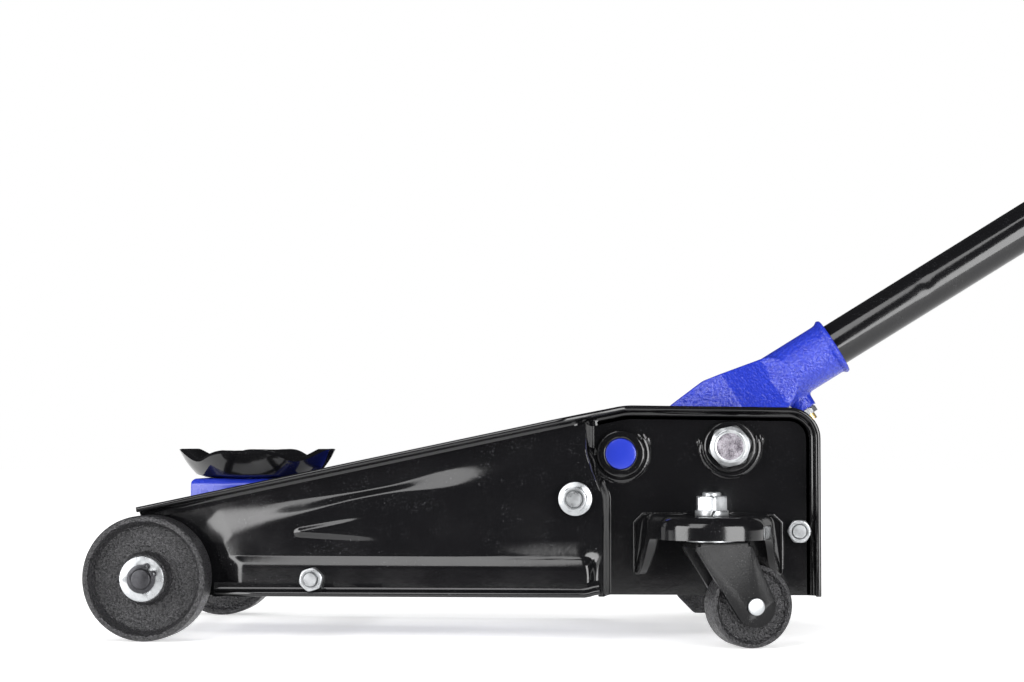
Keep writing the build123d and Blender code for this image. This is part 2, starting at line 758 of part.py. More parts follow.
# Saddle and levelling link
def saddle_bracket():
    """A channel bent over the arm's tip, open below and at both ends."""
    front = saddle_x - bracket_length / 2
    rear = saddle_x + bracket_length / 2
    deep = bracket_top - link_front[1] + 2 * bracket_eye_radius
    outside = RectangleRounded(2 * bracket_outer, 2 * deep, bracket_wall)
    inside = RectangleRounded(2 * (bracket_outer - bracket_wall), 2 * (deep - bracket_wall), 1)
    channel = Plane.YZ.offset(front) * Pos(0, bracket_top - deep) * (outside - inside)
    cheek = hull((front + 4, bracket_top - 4, 4), (rear - 4, bracket_top - 4, 4),
                 (*saddle_pivot, bracket_eye_radius + 5), (*link_front, bracket_eye_radius),
                 (rear - 3, saddle_pivot[1], 3), (front + 3, link_front[1], 3))
    bracket = extrude(channel, rear - front) & across(cheek, bracket_outer + 1)
    bracket -= outward(saddle_pivot[0], -bracket_outer - 1, saddle_pivot[1]) * disc(
        saddle_pin_dia + 2 * running, 2 * bracket_outer + 2)
    bracket -= outward(link_front[0], -bracket_outer - 1, link_front[1]) * disc(
        link_pin_dia + 2 * fitted, 2 * bracket_outer + 2)
    return bracket - Pos(saddle_x, 0, bracket_top - 20) * disc(stem_dia + 2 * running, 30)


def link_pin():
    x, z = link_front
    reach = link_bar_outer + side_gap
    half = outward(x, 0, z) * disc(link_pin_dia, reach)
    half += outward(x, reach, z) * disc(link_pin_head, link_pin_head_thick, edge=0.8)
    return half + opposite(half)


def link_bar():
    """A flat bar with an eye at each end, one turning on the link bolt and one on the link pin."""
    eye = link_eye_dia / 2
    bar = hull((*link_pivot, link_bar_width / 2), (*link_front, link_bar_width / 2))
    bar += Pos(*link_pivot) * Circle(eye) + Pos(*link_front) * Circle(eye)
    bar -= Pos(*link_pivot) * Circle(link_bolt_dia / 2 + running)
    bar -= Pos(*link_front) * Circle(link_pin_dia / 2 + running * 2)
    return slab(bar, link_bar_inner, link_bar_outer)


def saddle():
    """A pressed dish with four lobes, on a stem that turns in the bracket."""
    rim, base = saddle_rim_dia / 2, saddle_base_dia / 2
    high = saddle_top - saddle_seat
    points = [(0, 0), (base, 0), (rim, high - 3), (rim, high), (rim - saddle_wall, high),
              (base - saddle_wall * 0.4, saddle_wall), (0, saddle_wall)]
    dish = revolve(Plane.XZ * make_face(Polyline(points, close=True)), axis=Axis.Z)
    for turn in (45, 135, 225, 315):
        groove = Rot(0, 0, turn) * Pos(base - 8, 0, high + saddle_cut_radius - saddle_lobe_cut) * Rot(
            0, 90, 0) * disc(2 * saddle_cut_radius, rim)
        dish -= groove
    below = bracket_wall + 0.4 + side_gap + stem_ring_thick
    dish += Pos(0, 0, -below) * disc(stem_dia, below)
    dish += Pos(0, 0, -below) * disc(stem_ring_dia, stem_ring_thick)
    return Pos(saddle_x, 0, saddle_seat) * dish


# Handle, drawn along local X from the pivot, local Y up the slope's normal
def on_handle(piece):
    return Location((handle_pivot[0], 0, handle_pivot[1]), (0, -handle_slope, 0)) * piece


def handle_bar(dia, start, end, bore=0.0, edge=0.0):
    return Location((start, 0, handle_offset), (0, 90, 0)) * disc(dia, end - start, bore, edge)


def handle_socket():
    """A barrel for the tube that widens into a yoke, whose cheeks hang on the two pivot bolts."""
    crown = socket_crown - socket_crown_radius
    side = hull((0, 0, socket_cheek_radius), (-20, crown - 1.5, socket_crown_radius - 1),
                (8, crown, socket_crown_radius),
                (54, handle_offset, socket_dia / 2))
    yoke = across(side, cheek_outer)
    half = socket_dia / 2
    plan = make_face(Polyline([(-60, -cheek_outer), (socket_taper_start, -cheek_outer),
                               (socket_taper_end, -half + 2), (socket_taper_end + 30, -half + 2),
                               (socket_taper_end + 30, half - 2), (socket_taper_end, half - 2),
                               (socket_taper_start, cheek_outer), (-60, cheek_outer)], close=True))
    yoke &= Pos(0, 0, -60) * extrude(plan, 160)
    yoke += handle_bar(socket_dia, 50, socket_mouth)
    yoke += handle_bar(socket_flange_dia, socket_mouth - socket_flange_thick, socket_mouth, edge=1)
    inner = make_face(Polyline([(-60, -cheek_inner), (socket_taper_start + 3, -cheek_inner), (46, -18),
                                (46, 18), (socket_taper_start + 3, cheek_inner), (-60, cheek_inner)],
                               close=True))
    yoke -= Pos(0, 0, -80) * extrude(inner, 80 + socket_crown - socket_bridge)
    yoke -= handle_bar(handle_dia + 3 * running, 30, socket_mouth + 1)
    lug_at = roller_angle - slope
    lug = slab(hull((roller_arm * cos(lug_at), roller_arm * sin(lug_at), lug_radius), (53, 9, 7),
                    (38, 12, 5)), lug_inner, lug_inner + lug_thick)
    lugs = Pos(0, pump_side, 0) * (lug + opposite(lug))
    yoke += lugs - handle_bar(handle_dia + 3 * running, 20, socket_mouth)
    yoke += Pos(lock_place, 0, handle_offset - lock_lug_reach) * disc(lock_lug_dia, lock_lug_reach - 19)
    yoke -= Pos(lock_place, 0, handle_offset - lock_lug_reach - 1) * disc(lock_screw_dia + 2 * fitted, 30)
    reach = lug_inner + lug_thick + 2
    pin = outward(roller_arm * cos(lug_at), -pump_side - reach, roller_arm * sin(lug_at))
    yoke -= pin * disc(roller_pin_dia + 2 * fitted, 2 * reach)
    yoke -= outward(0, -cheek_outer - 1, 0) * disc(pivot_bolt_dia + 2 * running, 2 * cheek_outer + 2)
    return on_handle(yoke)


def cam_roller():
    return outward(roller[0], -pump_side - roller_half, roller[1]) * disc(
        roller_dia, 2 * roller_half, roller_pin_dia + 2 * fitted)


def roller_pin():
    reach = lug_inner + lug_thick + 1
    return outward(roller[0], -pump_side - reach, roller[1]) * disc(roller_pin_dia, 2 * reach, edge=0.6)


def lock_screw():
    top = handle_offset - handle_dia / 2 - 0.3
    low = handle_offset - lock_lug_reach - lock_nut_height - lock_screw_tip
    return on_handle(Pos(lock_place, 0, low) * disc(lock_screw_dia, top - low))


def lock_nut():
    low = handle_offset - lock_lug_reach - lock_nut_height
    return on_handle(Pos(lock_place, 0, low) * hexagon(lock_nut_flats, lock_nut_height,
                                                       lock_screw_dia + 2 * fitted))


def lower_tube():
    """The lower handle tube, closed by a collar that carries the release valve's drive key."""
    bore = handle_dia - 2 * handle_wall
    split = handle_split - spigot_length
    tube = handle_bar(handle_dia, handle_start, split, bore)
    tube += handle_bar(bore - 2 * fitted, split - 10, handle_split, bore - 8)
    tube += handle_bar(bore, split - 12, split, bore - 8)
    tube += handle_bar(bore + 0.2, handle_start, handle_start + drive_collar)
    return on_handle(tube + handle_bar(drive_key_dia, drive_key_start, handle_start, edge=2))


def upper_tube():
    bore = handle_dia - 2 * handle_wall
    start = handle_split - spigot_length + 0.3
    return on_handle(handle_bar(handle_dia, start, handle_end - 6, bore))


def joint_screw():
    place = handle_split - spigot_length / 2
    top = handle_offset + handle_dia / 2
    body = Pos(place, 0, top - handle_wall - 5) * disc(joint_screw_dia, handle_wall + 5)
    return on_handle(body + Pos(place, 0, top) * disc(joint_screw_head, 3.5, edge=1.5))


def handle_grip():
    cap = handle_bar(grip_dia, handle_end - 5.5, handle_end, edge=2.5)
    sleeve = handle_bar(grip_dia, handle_end - grip_length, handle_end - 5.5, handle_dia + 2 * fitted)
    return on_handle(sleeve + cap)


def tube_holes(piece):
    place = handle_split - spigot_length / 2
    hole = Pos(place, 0, handle_offset) * disc(joint_screw_dia + 2 * fitted, handle_dia)
    return piece - on_handle(hole)


pieces = {
    "side_plate_left": side_plate(),
    "side_plate_right": opposite(side_plate()),
    "front_axle": front_axle(),
    "axle_washers": both(axle_washer()),
    "axle_circlips": both(axle_circlip()),
    "front_wheel_left": front_wheel(),
    "front_wheel_right": opposite(front_wheel()),
    "front_tie_rod": tie_rod(front_tie, band_face + tie_nut_height + bolt_tip),
    "rear_tie_rod": tie_rod(rear_tie, rear_outer + tie_nut_height + bolt_tip),
    "tie_rod_spacers": tie_spacers(),
    "tie_rod_nuts": tie_nuts(),
    "arm_pivot_collars": both(arm_collar()),
    "handle_pivot_collars": both(pivot_collar()),
    "handle_pivot_bolts": both(pivot_bolt()),
    "link_bolts": both(link_bolt()),
    "link_bolt_spacers": both(link_spacer()),
    "link_bolt_nuts": both(link_nut()),
    "caster_bracket_left": caster_bracket(),
    "caster_bracket_right": opposite(caster_bracket()),
    "caster_stems": both(caster_stem()),
    "caster_nuts": both(on_stem(hood_top + caster_spring_washer_thick,
                                hexagon(caster_nut_flats, caster_nut_height, stem_bolt_dia + 2 * fitted))),
    "caster_spring_washers": both(on_stem(hood_top, spring_washer())),
    "caster_thrust_washers": both(on_stem(fork_plate_high + side_gap,
                                          disc(thrust_dia, thrust_thick, stem_bolt_dia + 2 * fitted))),
    "caster_fork_left": caster_fork(),
    "caster_fork_right": opposite(caster_fork()),
    "caster_wheel_left": caster_wheel(),
    "caster_wheel_right": opposite(caster_wheel()),
    "caster_rivet_left": caster_rivet(),
    "caster_rivet_right": opposite(caster_rivet()),
    "pump_block": pump_block(),
    "ram_gland": ram_gland(),
    "oil_filler_plug": filler_plug(),
    "pump_gland": pump_nut(),
    "pump_plunger": plunger(),
    "pump_spring": pump_spring(),
    "release_valve": release_valve(),
    "ram_rod": ram(),
    "ram_crosshead": crosshead(),
    "return_spring_left": return_spring(),
    "return_spring_right": opposite(return_spring()),
    "lift_arm": lift_arm(),
    "arm_shaft": arm_shaft(),
    "saddle_pin": saddle_pin(),
    "saddle_pin_clips": both(pin_clip()),
    "ram_pin": ram_cross_pin(),
    "saddle_bracket": saddle_bracket(),
    "link_pin": link_pin(),
    "link_bar_left": link_bar(),
    "link_bar_right": opposite(link_bar()),
    "saddle": saddle(),
    "handle_socket": handle_socket(),
    "cam_roller": cam_roller(),
    "roller_pin": roller_pin(),
    "handle_lock_screw": lock_screw(),
    "handle_lock_nut": lock_nut(),
    "lower_handle_tube": tube_holes(lower_tube()),
    "upper_handle_tube": tube_holes(upper_tube()),
    "handle_joint_screw": joint_screw(),
    "handle_grip": handle_grip(),
}

front_end = min(-wheel_dia / 2, saddle_x - saddle_rim_dia / 2)
rear_end = max(piece.bounding_box().max.X for piece in pieces.values())
origin_shift = Pos(-(front_end + rear_end) / 2, 0, 0)

os.makedirs("parts", exist_ok=True)
for name, piece in pieces.items():
    export_step(origin_shift * piece, f"parts/{name}.step")
print("origin shift", round(-(front_end + rear_end) / 2, 4), "pieces", len(pieces))
print("ram stroke", round(ram_stroke, 3), "pump stroke", round(pump_stroke, 3))
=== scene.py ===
import bpy
import bmesh
import json
import math
import numpy as np
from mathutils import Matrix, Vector


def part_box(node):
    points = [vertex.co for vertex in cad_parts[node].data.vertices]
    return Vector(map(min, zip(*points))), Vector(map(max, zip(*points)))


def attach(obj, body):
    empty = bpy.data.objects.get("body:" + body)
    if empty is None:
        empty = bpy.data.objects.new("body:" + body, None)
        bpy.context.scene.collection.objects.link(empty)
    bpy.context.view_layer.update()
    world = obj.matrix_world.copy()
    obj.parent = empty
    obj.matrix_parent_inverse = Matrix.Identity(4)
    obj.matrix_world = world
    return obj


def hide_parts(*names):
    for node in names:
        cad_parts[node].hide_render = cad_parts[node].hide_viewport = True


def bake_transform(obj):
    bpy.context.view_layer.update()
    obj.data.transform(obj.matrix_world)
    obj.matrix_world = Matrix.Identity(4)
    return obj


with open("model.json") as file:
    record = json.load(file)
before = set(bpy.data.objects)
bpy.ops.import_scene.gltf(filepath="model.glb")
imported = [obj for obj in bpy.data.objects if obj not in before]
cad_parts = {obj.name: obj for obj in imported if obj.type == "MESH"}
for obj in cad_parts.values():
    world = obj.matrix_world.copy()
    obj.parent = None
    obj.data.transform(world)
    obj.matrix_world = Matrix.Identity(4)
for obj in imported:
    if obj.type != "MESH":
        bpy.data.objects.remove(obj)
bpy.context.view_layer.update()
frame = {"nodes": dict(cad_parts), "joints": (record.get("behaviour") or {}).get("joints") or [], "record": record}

# Car jack looks. Lengths below are in mm from the front axle line, the floor and the centre plane,
# with x towards the handle, y to the far side and z up. place() turns them into frame metres.
scene = bpy.context.scene
nodes = frame["nodes"]
joints = {joint["name"]: joint for joint in frame["joints"]}
nodeSlot = {part["node"]: part["material_slot"] for part in frame["record"]["subparts"]}
axleX = joints["front_wheel_left_turn"]["pos_m"][0]


def place(points):
    return np.asarray(points, float) / 1000 + np.array([axleX, 0, 0])


def spot(jointName):
    # a joint's place, in mm from the front axle line
    at = np.array(joints[jointName]["pos_m"])
    return (at - np.array([axleX, 0, 0])) * 1000


def extent(node):
    # a node's lowest and highest corner, in mm from the front axle line
    low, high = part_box(node)
    shift = np.array([axleX, 0, 0])
    return (np.array(low) - shift) * 1000, (np.array(high) - shift) * 1000


def smooth(low, high, value):
    t = np.clip((value - low) / (high - low), 0, 1)
    return t * t * (3 - 2 * t)


def wobble(seed, *coords):
    # a repeatable uneven number from -1 to 1: a sum of sines along turning directions
    rng = np.random.default_rng(seed)
    total = 0
    for octave in range(5):
        freq = 0.7 * 1.7 ** octave
        phase = rng.uniform(0, 6.28)
        lean = sum(c * rng.uniform(-1, 1) * freq for c in coords)
        total = total + np.sin(lean + phase) / (octave + 1.5)
    return total / 1.6


def cornerPath(corners, steps=6):
    # corners are (u, v, radius); each radius is replaced by its arc, and the ends stay as they are
    out = [np.array(corners[0][:2], float)]
    for before, corner, after in zip(corners[:-2], corners[1:-1], corners[2:]):
        here = np.array(corner[:2], float)
        radius = corner[2]
        if radius <= 0:
            out.append(here)
            continue
        first = np.array(before[:2], float) - here
        last = np.array(after[:2], float) - here
        lengths = np.linalg.norm(first), np.linalg.norm(last)
        first, last = first / lengths[0], last / lengths[1]
        half = math.acos(np.clip(first @ last, -1, 1)) / 2
        cut = min(radius / math.tan(half), 0.48 * min(lengths))
        radius = cut * math.tan(half)
        centre = here + (first + last) / np.linalg.norm(first + last) * radius / math.sin(half)
        start, end = here + first * cut - centre, here + last * cut - centre
        turn = math.atan2(start[0] * end[1] - start[1] * end[0], start @ end)
        for angle in np.linspace(0, turn, steps + 1):
            c, s = math.cos(angle), math.sin(angle)
            out.append(centre + np.array([c * start[0] - s * start[1], s * start[0] + c * start[1]]))
    out.append(np.array(corners[-1][:2], float))
    return np.array(out)


def dense(path, step):
    # the same line with extra points so that no run is longer than step
    out = [path[:1]]
    for a, b in zip(path[:-1], path[1:]):
        count = max(1, int(np.ceil(np.linalg.norm(b - a) / step)))
        out.append(a + (b - a) * np.linspace(0, 1, count + 1)[1:, None])
    return np.concatenate(out)


def gridFaces(rows, cols, wrapU, wrapV, start=0):
    u = np.arange(rows if wrapU else rows - 1)[:, None]
    v = np.arange(cols if wrapV else cols - 1)[None, :]
    nextU, nextV = (u + 1) % rows, (v + 1) % cols
    quads = np.stack([u * cols + v, nextU * cols + v, nextU * cols + nextV, u * cols + nextV], -1)
    return quads.reshape(-1, 4) + start


def surface(name, grids, sharp=35):
    # each grid is (points[rows, cols, 3] in mm, wrapU, wrapV, capStart, capEnd): quads join
    # neighbours, and a cap closes the first or last row with a fan to its middle
    verts, faces = [], []
    count = 0
    for points, wrapU, wrapV, capStart, capEnd in grids:
        rows, cols = points.shape[:2]
        verts.append(points.reshape(-1, 3))
        faces += gridFaces(rows, cols, wrapU, wrapV, count).tolist()
        top = count + rows * cols
        for wanted, row in ((capStart, 0), (capEnd, rows - 1)):
            if wanted:
                verts.append(points[row].mean(0)[None])
                ring = count + row * cols + np.arange(cols)
                fan = np.stack([ring, np.roll(ring, -1), np.full(cols, top)], -1)
                faces += fan.tolist()
                top += 1
        count = top
    mesh = bpy.data.meshes.new(name)
    mesh.from_pydata(place(np.concatenate(verts)).tolist(), [], faces)
    work = bmesh.new()
    work.from_mesh(mesh)
    bmesh.ops.remove_doubles(work, verts=work.verts, dist=1e-6)
    bmesh.ops.recalc_face_normals(work, faces=work.faces)
    work.to_mesh(mesh)
    work.free()
    mesh.shade_smooth()
    mesh.set_sharp_from_angle(angle=math.radians(sharp))
    piece = bpy.data.objects.new(name, mesh)
    scene.collection.objects.link(piece)
    return piece


def dress(piece, body, material, slot, *replaced):
    piece.data.materials.clear()
    piece.data.materials.append(material)
    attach(piece, body)
    if replaced:
        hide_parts(*replaced)
    return piece


def axes(along, side=(0, 0, 1)):
    # three directions at right angles, the last one along the given line
    w = np.array(along, float) / np.linalg.norm(along)
    u = np.cross(side if abs(np.dot(side, w)) < 0.95 else (1, 0, 0), w)
    u = u / np.linalg.norm(u)
    return u, np.cross(w, u), w


def turned(profile, origin, along, segments=96, radiusAt=None, side=(0, 0, 1)):
    # a profile of (radius, height) carried round a line: point = origin + height * line
    # + radius * (cos angle, sin angle) across it; radiusAt may change the radius by angle and height
    u, v, w = axes(along, side)
    angle = np.arange(segments) * 2 * np.pi / segments
    radius = np.repeat(profile[:, :1], segments, 1)
    height = np.repeat(profile[:, 1:2], segments, 1)
    if radiusAt is not None:
        radius, height = radiusAt(radius, height, angle[None, :])
    points = (np.array(origin, float) + height[..., None] * w
              + (radius * np.cos(angle))[..., None] * u + (radius * np.sin(angle))[..., None] * v)
    return points


def closed(points):
    # the first row again at the end, so that a profile meets itself
    return np.concatenate([points, points[:1]])


def camelName(node):
    words = node.split("_")
    return words[0] + "".join(word.capitalize() for word in words[1:])


def mirrored(grids):
    # the same grids on the other side of the centre plane
    return [(points * np.array([1, -1, 1]), *rest) for points, *rest in grids]


# Shader groups shared by several finishes
def newGroup(name, inputs, outputs):
    tree = bpy.data.node_groups.new(name, "ShaderNodeTree")
    for label, kind, value in inputs:
        socket = tree.interface.new_socket(label, in_out="INPUT", socket_type=kind)
        if value is not None:
            socket.default_value = value
    for label, kind in outputs:
        tree.interface.new_socket(label, in_out="OUTPUT", socket_type=kind)
    return tree, tree.nodes.new("NodeGroupInput"), tree.nodes.new("NodeGroupOutput")


def mathNode(tree, operation, a, b=None, c=None, clamp=False):
    node = tree.nodes.new("ShaderNodeMath")
    node.operation = operation
    node.use_clamp = clamp
    for socket, value in zip(node.inputs, (a, b, c)):
        if value is None:
            continue
        if hasattr(value, "is_output"):
            tree.links.new(value, socket)
        else:
            socket.default_value = value
    return node.outputs[0]


def noiseNode(tree, vector, scale, detail=3.0, rough=0.55):
    node = tree.nodes.new("ShaderNodeTexNoise")
    node.inputs["Detail"].default_value = detail
    node.inputs["Roughness"].default_value = rough
    tree.links.new(vector, node.inputs["Vector"])
    if hasattr(scale, "is_output"):
        tree.links.new(scale, node.inputs["Scale"])
    else:
        node.inputs["Scale"].default_value = scale
    return node.outputs["Fac"]


def rampNode(tree, value, low, high):
    node = tree.nodes.new("ShaderNodeMapRange")
    node.interpolation_type = "SMOOTHSTEP"
    tree.links.new(value, node.inputs["Value"])
    for label, limit in (("From Min", low), ("From Max", high)):
        if hasattr(limit, "is_output"):
            tree.links.new(limit, node.inputs[label])
        else:
            node.inputs[label].default_value = limit
    return node.outputs["Result"]


def makePaintSkin():
    # orange peel height, fine dust and faint rubbed patches of a sprayed finish
    tree, given, out = newGroup("paintSkin", [
        ("Vector", "NodeSocketVector", None), ("Peel Scale", "NodeSocketFloat", 260.0),
        ("Peel", "NodeSocketFloat", 0.3), ("Dust", "NodeSocketFloat", 0.2)], [
        ("Height", "NodeSocketFloat"), ("Dust Mask", "NodeSocketFloat"), ("Rub", "NodeSocketFloat")])
    peel = noiseNode(tree, given.outputs["Vector"], given.outputs["Peel Scale"], 2.0)
    wide = noiseNode(tree, given.outputs["Vector"], 38.0, 1.0)
    uneven = mathNode(tree, "MULTIPLY_ADD", wide, 0.7, peel)
    tree.links.new(mathNode(tree, "MULTIPLY", uneven, given.outputs["Peel"]), out.inputs["Height"])
    specks = noiseNode(tree, given.outputs["Vector"], 1500.0, 0.0)
    where = noiseNode(tree, given.outputs["Vector"], 60.0, 3.0)
    dots = rampNode(tree, specks, 0.74, 0.82)
    patch = rampNode(tree, where, 0.42, 0.7)
    settled = mathNode(tree, "MULTIPLY", dots, patch)
    mask = mathNode(tree, "MULTIPLY", settled, given.outputs["Dust"], clamp=True)
    tree.links.new(mask, out.inputs["Dust Mask"])
    tree.links.new(rampNode(tree, noiseNode(tree, given.outputs["Vector"], 22.0, 5.0), 0.35, 0.75),
                   out.inputs["Rub"])
    return tree


def makeCastGrain():
    # sand-cast skin: small close grains over a slower unevenness
    tree, given, out = newGroup("castGrain", [
        ("Vector", "NodeSocketVector", None), ("Grain", "NodeSocketFloat", 620.0),
        ("Depth", "NodeSocketFloat", 1.0)], [("Height", "NodeSocketFloat"), ("Pits", "NodeSocketFloat")])
    fine = noiseNode(tree, given.outputs["Vector"], given.outputs["Grain"], 2.5, 0.6)
    slow = noiseNode(tree, given.outputs["Vector"], 130.0, 3.0)
    cells = tree.nodes.new("ShaderNodeTexVoronoi")
    cells.feature = "SMOOTH_F1"
    tree.links.new(given.outputs["Vector"], cells.inputs["Vector"])
    tree.links.new(given.outputs["Grain"], cells.inputs["Scale"])
    mixed = mathNode(tree, "MULTIPLY_ADD", cells.outputs["Distance"], 0.5, fine)
    both = mathNode(tree, "MULTIPLY_ADD", slow, 0.5, mixed)
    tree.links.new(mathNode(tree, "MULTIPLY", both, given.outputs["Depth"]), out.inputs["Height"])
    tree.links.new(rampNode(tree, fine, 0.4, 0.62), out.inputs["Pits"])
    return tree


def makePlating():
    # plated steel: crystal speckle and dull patches
    tree, given, out = newGroup("plating", [
        ("Vector", "NodeSocketVector", None), ("Speckle", "NodeSocketFloat", 900.0)], [
        ("Height", "NodeSocketFloat"), ("Dull", "NodeSocketFloat"), ("Tone", "NodeSocketFloat")])
    speck = noiseNode(tree, given.outputs["Vector"], given.outputs["Speckle"], 3.0, 0.7)
    slow = noiseNode(tree, given.outputs["Vector"], 140.0, 4.0)
    tree.links.new(speck, out.inputs["Height"])
    tree.links.new(rampNode(tree, slow, 0.35, 0.7), out.inputs["Dull"])
    tree.links.new(rampNode(tree, mathNode(tree, "MULTIPLY_ADD", speck, 0.5, mathNode(
        tree, "MULTIPLY", slow, 0.5)), 0.35, 0.65), out.inputs["Tone"])
    return tree


groups = {"paintSkin": makePaintSkin(), "castGrain": makeCastGrain(), "plating": makePlating()}


class Finish:
    # a material with its Principled shader, object coordinates and small wiring helpers
    def __init__(self, name, colour, rough, **sockets):
        self.material = bpy.data.materials.new(name)
        self.material.use_nodes = True
        self.tree = self.material.node_tree
        self.shader = self.tree.nodes["Principled BSDF"]
        self.shader.inputs["Base Color"].default_value = (*colour, 1)
        self.shader.inputs["Roughness"].default_value = rough
        for label, value in sockets.items():
            self.shader.inputs[label.replace("_", " ")].default_value = value
        self.coord = self.tree.nodes.new("ShaderNodeTexCoord").outputs["Object"]

    def group(self, name, **values):
        node = self.tree.nodes.new("ShaderNodeGroup")
        node.node_tree = groups[name]
        self.tree.links.new(self.coord, node.inputs["Vector"])
        for label, value in values.items():
            node.inputs[label.replace("_", " ")].default_value = value
        return node.outputs

    def blendColours(self, mask, low, high):
        node = self.tree.nodes.new("ShaderNodeMix")
        node.data_type = "RGBA"
        self.tree.links.new(mask, node.inputs[0])
        node.inputs[6].default_value = (*low, 1)
        node.inputs[7].default_value = (*high, 1)
        return node.outputs[2]

    def range(self, mask, low, high):
        node = self.tree.nodes.new("ShaderNodeMapRange")
        self.tree.links.new(mask, node.inputs["Value"])
        node.inputs["To Min"].default_value = low
        node.inputs["To Max"].default_value = high
        return node.outputs["Result"]

    def feed(self, value, label):
        self.tree.links.new(value, self.shader.inputs[label])

    def bump(self, height, strength, distance):
        node = self.tree.nodes.new("ShaderNodeBump")
        node.inputs["Strength"].default_value = strength
        node.inputs["Distance"].default_value = distance
        self.tree.links.new(height, node.inputs["Height"])
        self.feed(node.outputs["Normal"], "Normal")


# Painted and moulded finishes: a skin or a cast grain drives the colour, the gloss and the bump
coats = {
    # sprayed gloss black with faint peel and settled dust
    "black_paint": {
        "name": "glossBlackPaint", "base": (0.004, 0.004, 0.0045), "rough": 0.08,
        "paintSkin": {"Peel_Scale": 210.0, "Peel": 0.5, "Dust": 0.5},
        "colour": ("paintSkin", "Dust Mask", (0.004, 0.004, 0.0045), (0.16, 0.16, 0.17)),
        "gloss": ("paintSkin", "Rub", 0.1, 0.18), "bump": ("paintSkin", 0.12, 0.0005)},
    # the same spray in royal blue, on pressed steel
    "blue_paint": {
        "name": "royalBluePaint", "base": (0.015, 0.032, 0.36), "rough": 0.22,
        "paintSkin": {"Peel_Scale": 240.0, "Peel": 0.6, "Dust": 0.15},
        "colour": ("paintSkin", "Rub", (0.014, 0.029, 0.33), (0.018, 0.037, 0.4)),
        "gloss": ("paintSkin", "Rub", 0.2, 0.32), "bump": ("paintSkin", 0.3, 0.0005)},
    # thick glossy blue over a rough casting
    "cast_blue": {
        "name": "castBluePaint", "base": (0.015, 0.032, 0.36), "rough": 0.2,
        "castGrain": {"Grain": 430.0, "Depth": 1.0},
        "paintSkin": {"Peel_Scale": 420.0, "Peel": 0.6, "Dust": 0.2},
        "colour": ("castGrain", "Pits", (0.013, 0.026, 0.31), (0.018, 0.036, 0.39)),
        "gloss": ("paintSkin", "Rub", 0.16, 0.3), "bump": ("castGrain", 0.8, 0.0014)},
    # thin satin black over coarse sand-cast iron
    "cast_black": {
        "name": "castBlackPaint", "base": (0.016, 0.016, 0.017), "rough": 0.38,
        "castGrain": {"Grain": 560.0, "Depth": 1.0},
        "colour": ("castGrain", "Pits", (0.01, 0.01, 0.011), (0.032, 0.031, 0.034)),
        "gloss": ("castGrain", "Pits", 0.45, 0.26), "bump": ("castGrain", 1.0, 0.0022)},
    # satin black over hot-rolled steel: a fine skin with settled dust
    "fork_black": {
        "name": "forkBlackPaint", "base": (0.004, 0.004, 0.0045), "rough": 0.26,
        "sockets": {"Specular_IOR_Level": 0.16},
        "castGrain": {"Grain": 800.0, "Depth": 0.7},
        "paintSkin": {"Peel_Scale": 420.0, "Peel": 0.5, "Dust": 1.0},
        "colour": ("paintSkin", "Dust Mask", (0.005, 0.005, 0.0055), (0.2, 0.2, 0.2)),
        "gloss": ("paintSkin", "Rub", 0.2, 0.36), "bump": ("castGrain", 0.3, 0.0005)},
    # matt moulded rubber with a fine leathery skin
    "grip_rubber": {
        "name": "gripRubber", "base": (0.012, 0.012, 0.012), "rough": 0.62,
        "sockets": {"Sheen_Weight": 0.15, "Sheen_Roughness": 0.4},
        "castGrain": {"Grain": 1100.0, "Depth": 1.0},
        "colour": ("castGrain", "Pits", (0.009, 0.009, 0.009), (0.02, 0.02, 0.02)),
        "gloss": ("castGrain", "Pits", 0.7, 0.55), "bump": ("castGrain", 0.5, 0.0004)},
}


def coated(coat):
    paint = Finish(coat["name"], coat["base"], coat["rough"], **coat.get("sockets", {}))
    skins = {name: paint.group(name, **coat[name]) for name in ("castGrain", "paintSkin") if name in coat}
    name, mask, low, high = coat["colour"]
    paint.feed(paint.blendColours(skins[name][mask], low, high), "Base Color")
    name, mask, low, high = coat["gloss"]
    paint.feed(paint.range(skins[name][mask], low, high), "Roughness")
    name, strength, distance = coat["bump"]
    paint.bump(skins[name]["Height"], strength, distance)
    return paint.material


def platedSteel(name, bright, dull, rough, speckle=900.0, bumpiness=0.12):
    # plated hardware, bright on its high spots and duller in patches
    steel = Finish(name, bright, rough, Metallic=0.8)
    plate = steel.group("plating", Speckle=speckle)
    steel.feed(steel.blendColours(plate["Tone"], dull, bright), "Base Color")
    steel.feed(steel.range(plate["Dull"], rough, rough + 0.16), "Roughness")
    steel.bump(plate["Height"], bumpiness, 0.0003)
    return steel.material


# each row: name, bright colour, dull colour, roughness, then speckle scale and bump
steels = {
    "zinc": ("brightZinc", (0.42, 0.43, 0.44), (0.33, 0.34, 0.35), 0.27, 900.0, 0.06),
    "zinc_speckled": ("speckledZinc", (0.34, 0.32, 0.35), (0.07, 0.06, 0.075), 0.3, 1300.0, 0.5),
    "yellow_zinc": ("yellowZinc", (0.86, 0.62, 0.25), (0.55, 0.42, 0.2), 0.26),
    "dark_steel": ("darkSteel", (0.055, 0.055, 0.06), (0.03, 0.03, 0.033), 0.32, 700.0, 0.2),
    "spring_steel": ("springSteel", (0.3, 0.3, 0.31), (0.18, 0.18, 0.19), 0.3),
    "chrome": ("hardChrome", (0.86, 0.87, 0.89), (0.8, 0.81, 0.83), 0.06, 400.0, 0.03),
}
finishes = {name: coated(coat) for name, coat in coats.items()}
finishes.update({name: platedSteel(*row) for name, row in steels.items()})
for name, node in nodes.items():
    node.data.materials.clear()
    node.data.materials.append(finishes[nodeSlot[name]])
print("finishes made", len(finishes))

